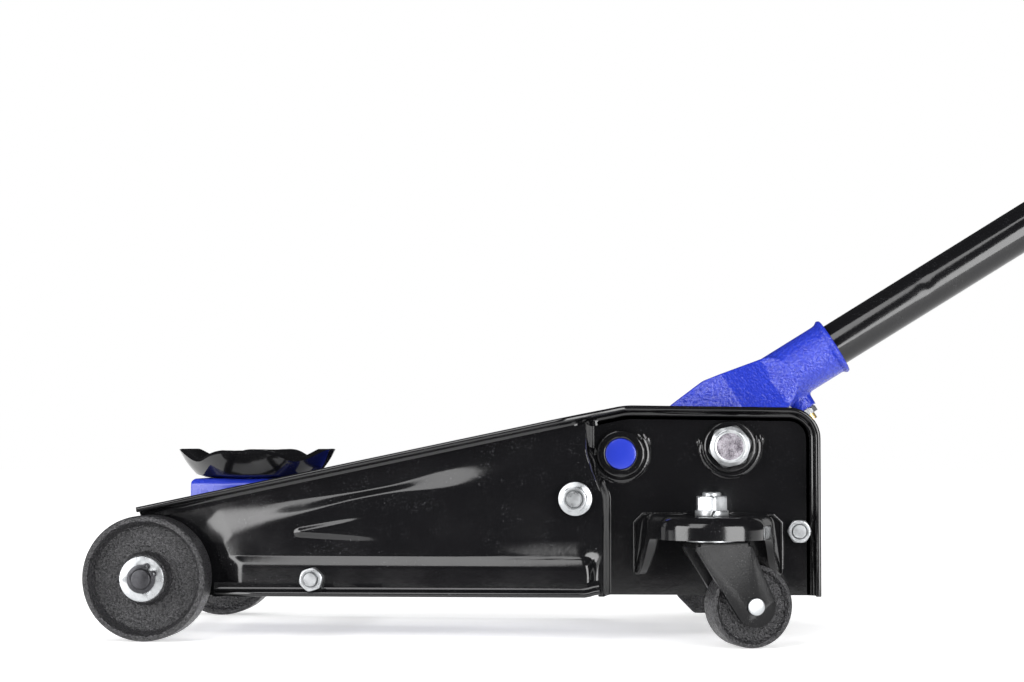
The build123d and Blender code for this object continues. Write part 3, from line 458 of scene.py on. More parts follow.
# Side plates: one pressed sheet each, with a raised panel, a swage along the foot and a joggle
plate = {
    "sheet": 4.0, "front": 113.0, "rear": 88.0, "raise": 4.0, "band": 3.0,
    "tip": (-11.4, 102.5), "bend": (368.0, 181.6), "rearTop": (517.5, 179.5), "foot": (517.5, 35.5),
    "noseIn": (1.5, 6.0), "frontFoot": (58.0, 34.0), "axle": 48.5, "nose": 15.0, "corner": 24.0,
    "panel": [(63, 30), (43, 76), (57, 91), (153, 110.5), (322, 142.0), (329, 136), (331, 127), (342, 114),
              (344, 30)],
    "step": [(353.5, -10, 0), (353.5, 112, 16), (345.0, 131, 12), (340.5, 146, 20), (340.5, 230, 0)],
    "bandTop": 65.0, "bandDrop": 9.0, "bandEnd": 350.0, "bandStart": 60.0,
    "frontLip": 12.0, "rearLip": 16.0, "bendRadius": 3.5, "inset": 8.0,
    "dart": (114.0, 83.5, 184.0, 88.0, 8.6), "dartHigh": 1.5,
    "dents": [(314, 92, 7, 0.14), (272, 94, 9, 0.04)],
}


def insideDistance(x, z, corners):
    # distance to a closed outline, positive inside: least distance to its edges, signed by crossings
    best = np.full(np.shape(x), 1e9)
    inside = np.zeros(np.shape(x), bool)
    for (ax, az), (bx, bz) in zip(corners, corners[1:] + corners[:1]):
        ex, ez = bx - ax, bz - az
        t = np.clip(((x - ax) * ex + (z - az) * ez) / (ex * ex + ez * ez), 0, 1)
        best = np.minimum(best, np.hypot(x - ax - t * ex, z - az - t * ez))
        crossing = (az > z) != (bz > z)
        at = ax + (z - az) * ex / (ez if abs(ez) > 1e-9 else 1e-9)
        inside ^= crossing & (x < at)
    return np.where(inside, best, -best)


def plateTop(x):
    (tx, tz), (bx, bz), (rx, rz) = plate["tip"], plate["bend"], plate["rearTop"]
    return np.where(x < bx, tz + (x - tx) * (bz - tz) / (bx - tx), bz + (x - bx) * (rz - bz) / (rx - bx))


def stepAt(z):
    # the joggle's place along the plate at each height, round the arm collar
    line = cornerPath(plate["step"], 10)
    return np.interp(z, line[:, 1], line[:, 0])


def plateReach(x, z):
    # how far the sheet stands from the centre plane: the front level, plus the panel, swage and
    # dart where they rise, blended down to the rear level behind the joggle
    panel = insideDistance(x, z, plate["panel"])
    wide = 3.0 + 9.0 * (1 - smooth(60, 170, x)) + 11.0 * smooth(180, 270, x) * smooth(50, 80, z)
    rise = plate["raise"] * smooth(-wide, wide, panel) * (1 - smooth(215, 335, x) * smooth(62, 80, z))
    t = np.clip((plate["bandTop"] - z) / plate["bandDrop"], 0, 1)
    ends = smooth(plate["bandStart"] - 6, plate["bandStart"] + 12, x) * (
        1 - smooth(plate["bandEnd"] - 11, plate["bandEnd"] - 1, x))
    band = plate["band"] * np.sin(t * np.pi / 2) * ends
    x0, z0, x1, z1, half = plate["dart"]
    along = (x - x0) / (x1 - x0)
    middle = z0 + (z1 - z0) * along
    breadth = 1.6 + half * np.clip(along, 0, 3)
    inside = breadth - np.abs(z - middle)
    tipward = smooth(x0 - 2, x0 + 3, x)
    dart = plate["dartHigh"] * tipward * smooth(-2.2, 2.0, inside) * (1 - smooth(0.1, 1.05, along))
    dents = sum(-deep * np.exp(-((x - dx) ** 2 + ((z - dz) * 1.6) ** 2) / (2 * (size / 2.4) ** 2))
                for dx, dz, size, deep in plate["dents"])
    front = plate["front"] + rise + band + dart + dents
    # the nose is drawn in beside the wheel
    low, whole = plate["noseIn"]
    front = front - low * (1 - smooth(30, 75, x)) * smooth(-40, 0, -z + 60)
    front = front - whole * (1 - smooth(-20, 120, x))
    waves = 0.1 * wobble(5, x / 60, z / 45)
    return plate["rear"] + (front + waves - plate["rear"]) * smooth(-2.4, 2.4, stepAt(z) - x)


def plateColumns():
    # every column runs from the lower edge to the upper one, both drawn in by the bend
    inset = plate["inset"]
    left = plate["tip"][0] + 1.5
    right = plate["rearTop"][0] - inset
    xs = np.concatenate([np.arange(left, 45, 1.5), np.arange(45, 80, 1.1), np.arange(80, 346, 1.5),
                         np.arange(346, 361, 0.4), np.arange(361, right - 16, 2.2),
                         right - 16 * np.cos(np.linspace(0, np.pi / 2, 16))])
    radius = plate["corner"] - inset
    top = plateTop(xs) - inset
    start = right - radius
    over = np.clip((xs - start) / radius, 0, 1)
    top = top - radius * (1 - np.sqrt(1 - over ** 2))
    axle, nose = plate["axle"], plate["nose"]
    (fx, fz), (rx, rz) = plate["frontFoot"], plate["foot"]
    slope = (axle - nose - fz) / fx
    lower = np.where(xs < 0, axle - np.sqrt(np.clip(nose ** 2 - xs ** 2, 0, None)), 0)
    lower = np.where((xs >= 0) & (xs < fx), axle - nose - slope * xs, lower)
    foot = fz + (xs - fx) * (rz - fz) / (rx - fx)
    lower = np.where(xs >= fx, foot + (inset - 1) * (1 - smooth(338, 352, xs)), lower)
    rows = 112
    v = np.linspace(0, 1, rows)
    v = v + 0.045 * np.sin(2 * np.pi * v) / np.pi
    flat = np.repeat(xs[:, None], rows, 1)
    rise = lower[:, None] + (top - lower)[:, None] * v[None, :]
    # the columns lean over so that they run along the joggle
    lean = smooth(250, 346, flat) * (1 - smooth(361, 460, flat))
    shift = (stepAt(rise) - 353.5) * lean
    topShift = plateTop(flat + shift) - plateTop(flat)
    return flat + shift, rise + topShift * (rise - lower[:, None]) / (top - lower)[:, None]


def plateWeb():
    # a slab: the outer skin and an inner skin one sheet further in, joined round the edge
    across, rise = plateColumns()
    outer = np.stack([across, -plateReach(across, rise), rise], -1)
    tangentX = np.gradient(outer, axis=0)
    tangentZ = np.gradient(outer, axis=1)
    normal = np.cross(tangentX, tangentZ)
    normal /= np.linalg.norm(normal, axis=-1, keepdims=True)
    normal *= np.sign(-normal[..., 1:2] + 1e-9)
    inner = outer - plate["sheet"] * normal
    rim = np.concatenate([outer[:, ::-1], inner], 1)
    return [(rim, False, True, False, False)]


def flange(path, base, lip):
    # the bend and the turned-out edge, carried along the plate's outline: each section goes
    # from the web round the bend, out to the lip, round it and back along the outside
    sheet, bend = plate["sheet"], plate["bendRadius"]
    tangent = np.gradient(path, axis=0)
    tangent /= np.linalg.norm(tangent, axis=1, keepdims=True)
    inward = np.stack([tangent[:, 1], -tangent[:, 0]], 1)
    arc = np.linspace(0, np.pi / 2, 7)
    turn = np.linspace(0, np.pi, 7)
    outerRadius = sheet + bend
    root = [plate["inset"] + 2.5]
    # how far each point of the section lies in from the outline
    inset = np.concatenate([root, outerRadius - bend * np.sin(arc), sheet / 2 + sheet / 2 * np.cos(turn),
                            outerRadius - outerRadius * np.cos(arc), root])
    # and how far it stands out from the web, with the lip at its own depth
    bendOut = np.concatenate([[0.0], bend - bend * np.cos(arc)])
    lipOut = (lip - base)[:, None] + np.sin(turn) * 1.2 - 1.2
    backOut = bend - outerRadius * np.sin(arc)
    count = len(path)
    out = np.concatenate([np.repeat(bendOut[None], count, 0), lipOut, np.repeat(backOut[None], count, 0),
                          np.full((count, 1), -sheet)], 1) + base[:, None]
    across = path[:, :1] + inward[:, :1] * inset
    rise = path[:, 1:] + inward[:, 1:] * inset
    return (np.stack([across, -out, rise], -1), False, True, True, True)


def plateFlanges():
    (tx, tz), (bx, bz), (rx, rz), (fx, fz) = (plate[k] for k in ("tip", "bend", "rearTop", "foot"))
    line = cornerPath([(tx, tz, 0), (bx, bz, 60), (rx, rz, plate["corner"]), (fx, fz, 0)], 14)
    line = dense(line, 3.0)
    ahead = 1 - smooth(318, 372, line[:, 0])
    base = plate["rear"] + (plate["front"] - plate["rear"]) * (1 - smooth(330, 343, line[:, 0]))
    lip = plate["rear"] + plate["rearLip"] + (
        plate["front"] + plate["frontLip"] - plate["rear"] - plate["rearLip"]) * ahead
    lip = lip + 0.35 * wobble(8, line[:, 0] / 25, line[:, 1] / 25)
    top = flange(line, base, lip)
    fx0, fz0 = plate["frontFoot"]
    slope = (plate["foot"][1] - fz0) / (plate["foot"][0] - fx0)
    low = dense(np.array([(350.0, fz0 + (350 - fx0) * slope), (fx0 - 8, fz0)]), 4.0)
    lowBase = plate["front"] + plate["raise"] + plate["band"] + 0 * low[:, 0]
    lowLip = lowBase + (plate["frontLip"] - plate["raise"] - plate["band"]) * smooth(50, 84, low[:, 0])
    lowLip = lowLip + 0.15 * wobble(9, low[:, 0] / 30)
    curl = 2.5 * smooth(338, 350, low[:, 0])
    low = np.stack([low[:, 0], low[:, 1] + curl], 1)
    return [top, flange(low, lowBase, lowLip)]


leftPlate = plateWeb() + plateFlanges()
for name, grids in (("left", leftPlate), ("right", mirrored(leftPlate))):
    dress(surface("sidePlate" + name.capitalize(), grids, 50), "chassis", finishes["black_paint"],
          "black_paint", "side_plate_" + name)
print("side plates made")

# Weld beads: a half-buried rope whose thickness ripples and tapers away at both ends
weld = {"thick": 3.2, "ripple": 0.16, "pitch": 2.6, "segments": 16}


def bead(path, seed, thick=None, out=(0, -1, 0)):
    # point = path + side * (radius * cos angle + wander) + out * 0.72 * radius * sin angle,
    # where the radius is the thickness with ripples and lumps, fading to nothing at both ends
    thick = thick or weld["thick"]
    count = len(path)
    tangent = np.gradient(path, axis=0)
    tangent /= np.linalg.norm(tangent, axis=1, keepdims=True)
    up = np.array(out, float)
    side = np.cross(tangent, up)
    side /= np.linalg.norm(side, axis=1, keepdims=True)
    along = np.concatenate([[0], np.cumsum(np.linalg.norm(np.diff(path, axis=0), axis=1))])
    ends = np.sqrt(np.clip(np.minimum(along, along[-1] - along) / (2.2 * thick), 0.02, 1))
    angle = np.arange(weld["segments"]) * 2 * np.pi / weld["segments"]
    ripple = weld["ripple"] * np.abs(np.sin(np.pi * along / weld["pitch"]
                                            + 0.8 * wobble(seed, along / 9)))[:, None]
    lumps = 1 + 0.13 * wobble(seed + 1, along[:, None] / 14, np.cos(angle)[None], np.sin(angle)[None])
    radius = ends[:, None] * thick * lumps + ripple * ends[:, None] - weld["ripple"]
    radius = np.maximum(radius, 0.15)
    wander = 0.5 * wobble(seed + 2, along / 18)[:, None]
    points = (path[:, None] + side[:, None] * (radius * np.cos(angle) + wander)[..., None]
              + up * (0.72 * radius * np.sin(angle))[..., None])
    return (points, False, True, True, True)


def collarWeld(centre, radius, start, end, seed, thick=None):
    # angles in degrees from the x direction, turning towards z
    angle = np.radians(np.linspace(start, end, int(abs(end - start) * radius / 57 / 0.8)))
    path = np.stack([centre[0] + radius * np.cos(angle), np.full(len(angle), -plate["rear"] - 0.2),
                     centre[2] + radius * np.sin(angle)], 1)
    return bead(path, seed, thick)


armAt, handleAt = spot("lift"), spot("handle_pump")
armRadius = (extent("arm_pivot_collars")[1][0] - extent("arm_pivot_collars")[0][0]) / 2
pivotRadius = (extent("handle_pivot_collars")[1][0] - extent("handle_pivot_collars")[0][0]) / 2
# each run: the collar's middle, radius, first and last angle, seed and thickness
weldRuns = [
    (armAt, armRadius + 1.6, -196, 52, 21), (armAt, armRadius + 4.4, 14, 44, 23, 2.9),
    (armAt, armRadius + 3.4, -178, -100, 24, 2.2), (handleAt, pivotRadius + 1.8, -192, 26, 25),
    (handleAt, pivotRadius + 4.6, 2, 24, 27, 3.0), (handleAt, pivotRadius + 4.0, -196, -178, 28, 2.8),
    (handleAt, pivotRadius + 3.6, -120, -60, 29, 2.0),
]
leftWelds = [collarWeld(*run) for run in weldRuns]
for name, grids in (("Left", leftWelds), ("Right", mirrored(leftWelds))):
    dress(surface("collarWelds" + name, grids, 60), "chassis", finishes["black_paint"], "black_paint")
print("welds made")


# Wheels: a profile of (radius, height) turned about the axle, with draft and soft cast corners
def wheelProfile(w):
    half = w["width"] / 2
    web = w["web"] / 2
    side = [(w["bore"], half + w["hubProud"], 0), (w["hub"], half + w["hubProud"], 1.2),
            (w["hub"] + 1.6, web, 3.2), (w["webOut"], web, 3.5), (w["mouth"], half, 1.6),
            (w["edge"], half, w["round"])]
    upper = cornerPath(side + [(w["edge"] + 0.12, 0, 0)], 5)
    lower = upper[::-1][1:] * np.array([1, -1])
    # the web sits towards the inner side, so the outer recess is the deeper one
    whole = np.concatenate([upper, lower])
    webbed = 1 - smooth(w["webOut"] - 0.5, w["mouth"], whole[:, 0])
    webbed = webbed * smooth(w["hub"], w["hub"] + 2.5, whole[:, 0])
    whole[:, 1] -= w["webShift"] * webbed
    return dense(whole, 2.2)


def castWheel(name, w, origin, along, seed):
    profile = wheelProfile(w)

    def uneven(radius, height, angle):
        # the casting runs slightly out of true and its web is a little rough
        rim = smooth(w["webOut"], w["edge"], radius)
        lift = 0.16 * wobble(seed, radius / 5, 3 * np.cos(angle), 3 * np.sin(angle))
        keep = 1 - smooth(w["edge"] - 1.5, w["edge"], radius)
        return radius + 0.12 * rim * (wobble(seed + 1, 2 * np.cos(angle), 2 * np.sin(angle)) - 1), (
            height + lift * keep * np.sign(height) * (np.abs(height) < w["width"] / 2 + w["hubProud"] - 0.3))
    points = turned(profile, origin, along, 128, uneven)
    return surface(name, [(closed(points), False, True, False, False)], 60)


frontWheel = {"width": 27.0, "web": 11.0, "bore": 8.05, "hub": 18.5, "hubProud": 1.0, "webOut": 40.5,
              "mouth": 44.0, "edge": 48.3, "round": 2.5, "webShift": 3.8, "middle": 130.5}
casterWheel = {"width": 22.0, "web": 10.0, "bore": 5.05, "hub": 12.0, "hubProud": -0.2, "webOut": 25.5,
               "mouth": 28.0, "edge": 31.3, "round": 2.0, "webShift": 1.5}
for side, sign in (("left", -1), ("right", 1)):
    low, high = extent("front_wheel_" + side)
    middle = (low + high) / 2
    middle[1] = sign * frontWheel["middle"]
    piece = castWheel("frontWheelCasting" + side.capitalize(), frontWheel, middle, (0, sign, 0), 31 + sign)
    dress(piece, "front_wheel_" + side, finishes["cast_black"], "cast_black", "front_wheel_" + side)
    roll = joints[f"caster_{side}_roll"]
    piece = castWheel("casterWheelCasting" + side.capitalize(), casterWheel, spot(f"caster_{side}_roll"),
                      roll["axis"], 41 + sign)
    dress(piece, "caster_wheel_" + side, finishes["cast_black"], "cast_black", "caster_wheel_" + side)
print("wheels made")


# Saddle: a pressed dish whose rim rises in four lobes
dish = {"base": 48.0, "rim": 65.0, "sheet": 4.2, "valley": 9.5, "halfLobe": 26.0, "sideDrop": 3.2,
        "segments": 240}


def saddleShape():
    # radius grows from base to rim with height, and height falls by the valley between lobes
    low, high = extent("saddle")
    centre = spot("saddle_turn")
    seat, top = centre[2], high[2]
    tall = top - seat
    angle = np.arange(dish["segments"]) * 2 * np.pi / dish["segments"]
    # each lobe is flat on top and falls to a valley between its neighbours
    turn = (np.degrees(angle) + 45) % 90 - 45
    lobe = 1 - smooth(dish["halfLobe"] - 12, dish["halfLobe"] + 18, np.abs(turn))
    height = tall - dish["valley"] * (1 - lobe) - 0.6 * (1 + wobble(51, 3 * np.cos(angle), 3 * np.sin(angle)))
    height = height - dish["sideDrop"] * np.sin(angle) ** 4 * lobe
    flare = dish["rim"] - dish["base"]
    ragged = 0.35 * wobble(52, 9 * np.cos(angle), 9 * np.sin(angle))
    bulge = 1.8 * lobe

    def wall(offset, share):
        # a wall point at a share of its height, pushed in by the sheet's thickness
        t = share[:, None]
        radius = dish["base"] + flare * t * (height / tall)[None]
        radius = radius + bulge[None] * np.sin(np.pi * np.clip(t, 0, 1)) * 0.9
        lean = flare / math.hypot(flare, tall)
        rise = tall / math.hypot(flare, tall)
        radius = radius - offset * rise
        z = height[None] * t + offset * lean + ragged[None] * smooth(0.9, 1.0, t)
        return np.minimum(radius, dish["rim"]), z
    up = np.linspace(0.12, 1, 22)
    outRadius, outRise = wall(0, up)
    inRadius, inRise = wall(dish["sheet"], up[::-1])
    ones = np.ones(dish["segments"])
    floorOut = np.array([2, 16, 30, 40, 44, 46.5])
    floorRise = np.array([0, 0, 0, 0.1, 0.5, 1.3])[:, None] * ones
    inFloor = np.array([43.0, 40.0, 36.0, 26.0, 14.0, 9.0, 7.5, 2.0])
    inFloorRise = np.array([1.6, 0.5, 0, 0, 0, 0.1, 0.9, 1.0])
    lipRadius = (outRadius[-1] * 0.5 + inRadius[0] * 0.5)[None]
    lipRise = (np.maximum(outRise[-1], inRise[0]) + 0.25)[None]
    radius = np.concatenate([floorOut[:, None] * ones, outRadius, lipRadius, inRadius,
                             inFloor[:, None] * ones])
    rise = np.concatenate([floorRise, outRise, lipRise, np.minimum(inRise, (top - seat) - 0.1),
                           (dish["sheet"] + 0.6 - inFloorRise * 0.6)[:, None] * ones])
    rise = np.minimum(rise, tall)
    points = np.stack([centre[0] + radius * np.cos(angle), centre[1] + radius * np.sin(angle),
                       seat + rise], -1)
    stem = cornerPath([(0.5, 0.2, 0), (15, 0.2, 0), (15, -6.9, 0.5), (20, -6.9, 0.6), (20, -9.8, 0.6),
                       (0.5, -9.8, 0)], 3)
    foot = turned(stem, centre, (0, 0, 1), 64)
    return [(points, False, True, True, True), (foot, False, True, True, True)]


dress(surface("saddleDish", saddleShape(), 55), "saddle", finishes["black_paint"], "black_paint", "saddle")
print("saddle made")

# Pressed and machined CAD pieces keep their shape and get small rounded edges
def mergedCopy(node, name):
    source = nodes[node].data
    work = bmesh.new()
    work.from_mesh(source)
    bmesh.ops.remove_doubles(work, verts=work.verts, dist=2e-6)
    mesh = bpy.data.meshes.new(name)
    work.to_mesh(mesh)
    work.free()
    piece = bpy.data.objects.new(name, mesh)
    scene.collection.objects.link(piece)
    return piece


def settle(piece):
    # the modifiers' result becomes the piece's own mesh
    bpy.context.view_layer.update()
    ready = bpy.data.meshes.new_from_object(piece.evaluated_get(bpy.context.evaluated_depsgraph_get()))
    piece.modifiers.clear()
    piece.data = ready
    return piece


def roundedNode(node, name, width, body, finish, segments=2, angle=28):
    piece = mergedCopy(node, name)
    work = bmesh.new()
    work.from_mesh(piece.data)
    bmesh.ops.dissolve_limit(work, angle_limit=math.radians(0.4), verts=work.verts, edges=work.edges)
    work.to_mesh(piece.data)
    work.free()
    bevel = piece.modifiers.new("edges", "BEVEL")
    bevel.width = width / 1000
    bevel.segments = segments
    bevel.limit_method = "ANGLE"
    bevel.angle_limit = math.radians(angle)
    bevel.harden_normals = False
    bevel.use_clamp_overlap = True
    settle(piece)
    piece.data.shade_smooth()
    piece.data.set_sharp_from_angle(angle=math.radians(40))
    return dress(piece, body, finishes[finish], nodeSlot[node], node)


def castNode(node, name, voxel, passes, body, finish):
    # a casting: the CAD solid with its corners melted round by an even skin and a few smoothing passes
    piece = mergedCopy(node, name)
    remesh = piece.modifiers.new("skin", "REMESH")
    remesh.mode = "VOXEL"
    remesh.voxel_size = voxel / 1000
    remesh.adaptivity = 0.0
    soften = piece.modifiers.new("soften", "SMOOTH")
    soften.iterations = passes
    soften.factor = 0.5
    settle(piece)
    piece.data.shade_smooth()
    return dress(piece, body, finishes[finish], nodeSlot[node], node)


softEdged = [
    ("saddle_bracket", 1.2, "saddle_base", "blue_paint"), ("lift_arm", 0.9, "lift_arm", "blue_paint"),
    ("arm_shaft", 0.5, "lift_arm", "blue_paint"), ("link_bar_left", 0.8, "levelling_link", "black_paint"),
    ("link_bar_right", 0.8, "levelling_link", "black_paint"), ("ram_crosshead", 1.0, "ram", "cast_black"),
    ("arm_pivot_collars", 0.9, "chassis", "black_paint"),
    ("handle_pivot_collars", 0.9, "chassis", "black_paint"),
    ("caster_fork_left", 0.9, "caster_fork_left", "fork_black"),
    ("caster_fork_right", 0.9, "caster_fork_right", "fork_black"),
    ("caster_rivet_left", 0.7, "caster_fork_left", "zinc"),
    ("caster_rivet_right", 0.7, "caster_fork_right", "zinc"),
    ("axle_washers", 0.4, "chassis", "zinc"), ("front_axle", 0.3, "chassis", "dark_steel"),
    ("axle_circlips", 0.2, "chassis", "dark_steel"), ("caster_spring_washers", 0.5, "chassis", "zinc"),
    ("tie_rod_spacers", 0.6, "chassis", "black_paint"), ("saddle_pin_clips", 0.2, "lift_arm", "dark_steel"),
    ("release_valve", 0.3, "release_valve", "dark_steel"), ("oil_filler_plug", 0.4, "chassis", "zinc"),
]
for node, width, body, finish in softEdged:
    roundedNode(node, camelName(node) + "Edged", width, body, finish)
castNode("handle_socket", "handleSocketCasting", 1.5, 5, "handle_socket", "cast_blue")
castNode("pump_block", "pumpBlockCasting", 1.8, 4, "chassis", "cast_black")
print("edges rounded")


# Hexagon nuts and heads: the radius at each angle is the hexagon's, cut by a cone at the corners
def hexGrid(flats, height, origin, along, bore=0.0, flange=None, turn=0.0, hollow=0.0, crown=1.0):
    # radius at an angle = half the flats / cos(angle from the nearest flat), never above the cone;
    # point = origin + height * line + radius * (cos angle, sin angle) across it
    angle = np.arange(180) * 2 * np.pi / 180
    sector = (angle - turn) % (np.pi / 3) - np.pi / 6
    hexRadius = flats / 2 / np.cos(sector)
    corner = flats / 2 / math.cos(math.pi / 6)
    levels = np.concatenate([[0], np.linspace(0.4, height - 1.6, 3), np.linspace(height - 1.5, height, 10)])
    cone = flats / 2 * crown - 0.4 + (height - levels) * 1.75
    rows = np.minimum(hexRadius[None], np.minimum(cone[:, None], corner + 0 * angle[None]))
    rows = rows - 0.35 * smooth(corner - 1.2, corner, rows)
    base = np.full((1, 180), max(bore, 0.01))
    inner = flats / 2 * crown - 1.2
    top = [(inner, height)]
    if hollow:
        top += [(inner - 0.8, height - 0.1), (inner - 1.4, height - hollow), (0.01, height - hollow)]
    elif bore:
        top += [(bore + 1.0, height), (bore, height - 1.0)]
    else:
        top += [(0.01, height)]
    top = np.array(top)
    radius = np.concatenate([base, rows, top[:, :1] * np.ones(180)])
    rise = np.concatenate([[0], levels, top[:, 1]])[:, None] * np.ones(180)
    if bore:
        radius = np.concatenate([radius, base])
        rise = np.concatenate([rise, np.zeros((1, 180))])
    u, v, w = axes(along)
    points = np.array(origin, float) + rise[..., None] * w + (
        radius * np.cos(angle))[..., None] * u + (radius * np.sin(angle))[..., None] * v
    grids = [(points, False, True, False, False)]
    if flange:
        dia, thick = flange
        profile = cornerPath([(max(bore, 0.01), -thick, 0), (dia / 2, -thick, 0.3),
                              (dia / 2, -thick * 0.45, 0.5), (flats / 2 - 0.5, 0.3, 0)], 4)
        grids.append((turned(profile, origin, along, 96), False, True, False, False))
    return grids


def threaded(dia, start, end, origin, along, pitch=1.5, tip=1.2):
    # a rod end whose radius follows a helix: a triangle wave of height and angle
    levels = np.linspace(start, end, int((end - start) / pitch * 7) + 1)
    profile = np.stack([np.full(len(levels), dia / 2), levels], 1)

    def cut(radius, height, angle):
        wave = np.abs(((height / pitch - angle / (2 * np.pi)) % 1) - 0.5) * 2
        taper = smooth(end - tip, end, height)
        return radius - 0.45 * pitch * wave * 0.8 - taper * tip * 0.7, height
    points = turned(profile, origin, along, 48, cut)
    return [(points, False, True, True, True)]


tieNut = {"flats": 17.0, "high": 8.0, "bore": 5.1, "thread": 10.3, "clear": 3.0, "frontTurn": 0.3}
linkNut = {"flats": 18.0, "high": 9.5, "bore": 6.1, "flange": (26.0, 2.5), "turn": 0.15, "thread": 12.3,
           "pitch": 1.75}
pivotHead = {"flats": 30.0, "high": 12.0, "turn": 0.22, "hollow": 0.35, "crown": 0.86, "shank": 10.0}
casterNut = {"flats": 22.0, "bore": 7.1, "turn": 0.1, "thread": 14.0, "pitch": 2.0}


def nutSet():
    made = []
    for node, turn in (("front_tie_rod", tieNut["frontTurn"]), ("rear_tie_rod", 0.0)):
        low, high = extent(node)
        centre = (low + high) / 2
        reach = -low[1] - tieNut["clear"] - tieNut["high"]
        for sign in (-1, 1):
            at = (centre[0], sign * reach, centre[2])
            made += hexGrid(tieNut["flats"], tieNut["high"], at, (0, sign, 0), bore=tieNut["bore"], turn=turn)
            made += threaded(tieNut["thread"], 6.5, 8.2 + tieNut["clear"], at, (0, sign, 0))
    return made


dress(surface("tieRodNutsChamfered", nutSet(), 30), "chassis", finishes["zinc"], "zinc", "tie_rod_nuts")


def linkNuts():
    made = []
    low, high = extent("link_bolt_nuts")
    reach = high[1] - linkNut["high"]
    boltEnd = extent("link_bolts")[1][1]
    centre = (low + high) / 2
    for sign in (-1, 1):
        at = (centre[0], sign * reach, centre[2])
        made += hexGrid(linkNut["flats"], linkNut["high"], at, (0, sign, 0), bore=linkNut["bore"],
                        flange=linkNut["flange"], turn=linkNut["turn"])
        made += threaded(linkNut["thread"], 8.0, boltEnd - reach + 0.2, at, (0, sign, 0), linkNut["pitch"])
    return made


dress(surface("linkNutsFlanged", linkNuts(), 30), "chassis", finishes["zinc"], "zinc", "link_bolt_nuts")


def pivotHeads():
    made, faces = [], []
    low, high = extent("handle_pivot_bolts")
    centre = (low + high) / 2
    for sign in (-1, 1):
        at = np.array((centre[0], sign * (high[1] - pivotHead["high"]), centre[2]))
        made += hexGrid(pivotHead["flats"], pivotHead["high"], at, (0, sign, 0), turn=pivotHead["turn"],
                        hollow=pivotHead["hollow"], crown=pivotHead["crown"])
        inner = np.abs([v.co.y for v in nodes["handle_pivot_bolts"].data.vertices]).min() * 1000
        rod = np.array([(pivotHead["shank"], inner - at[1] * sign), (pivotHead["shank"], 0.4)])
        made.append((turned(rod, at, (0, sign, 0), 64), False, True, True, True))
        top = at + np.array([0, sign * 11.68, 0])
        disc = np.array([(0.01, 0.0), (4.0, 0.02), (8.0, 0.02), (11.2, 0.0)])
        faces.append((turned(disc, top, (0, sign, 0), 72), False, True, False, False))
    return made, faces


heads, headFaces = pivotHeads()
dress(surface("pivotBoltHeads", heads, 30), "chassis", finishes["zinc"], "zinc", "handle_pivot_bolts")
dress(surface("pivotBoltFaces", headFaces, 30), "chassis", finishes["zinc_speckled"], "zinc")


def casterNuts():
    made = []
    low, high = extent("caster_nuts")
    stemEnd = extent("caster_stems")[1][2]
    for sign, joint in ((-1, "caster_left_swivel"), (1, "caster_right_swivel")):
        at = spot(joint)
        at[2] = low[2]
        made += hexGrid(casterNut["flats"], high[2] - low[2], at, (0, 0, 1), bore=casterNut["bore"],
                        turn=casterNut["turn"])
        made += threaded(casterNut["thread"], 6.0, stemEnd - low[2], at, (0, 0, 1), casterNut["pitch"])
    return made


dress(surface("casterNutsChamfered", casterNuts(), 30), "chassis", finishes["zinc"], "zinc", "caster_nuts")
print("nuts made")


# Caster brackets: a domed pressed hood; its plan runs from the plate round the stem and back
hood = {"top": 98.0, "thick": 5.0, "nose": 33.8, "noseHalf": 39.5, "front": 375.0, "rear": 487.5,
        "skirt": 81.0, "rootLow": 51.0, "edgeRadius": 9.0, "slope": (101.0, 128.0), "splay": 5.0}


def hoodPlan(root, axis):
    # straight sides from the plate to a squarish nose: a superellipse of power 2.4
    arc = np.linspace(-np.pi, 0, 600)
    power = 2 / 2.4
    ring = np.stack([hood["noseHalf"] * np.sign(np.cos(arc)) * np.abs(np.cos(arc)) ** power,
                     -hood["nose"] * np.abs(np.sin(arc)) ** power], 1) + axis
    length = np.concatenate([[0], np.cumsum(np.linalg.norm(np.diff(ring, axis=0), axis=1))])
    even = np.linspace(0, length[-1], 76)
    ring = np.stack([np.interp(even, length, ring[:, 0]), np.interp(even, length, ring[:, 1])], 1)
    return np.concatenate([[(hood["front"], root)], ring, [(hood["rear"], root)]])


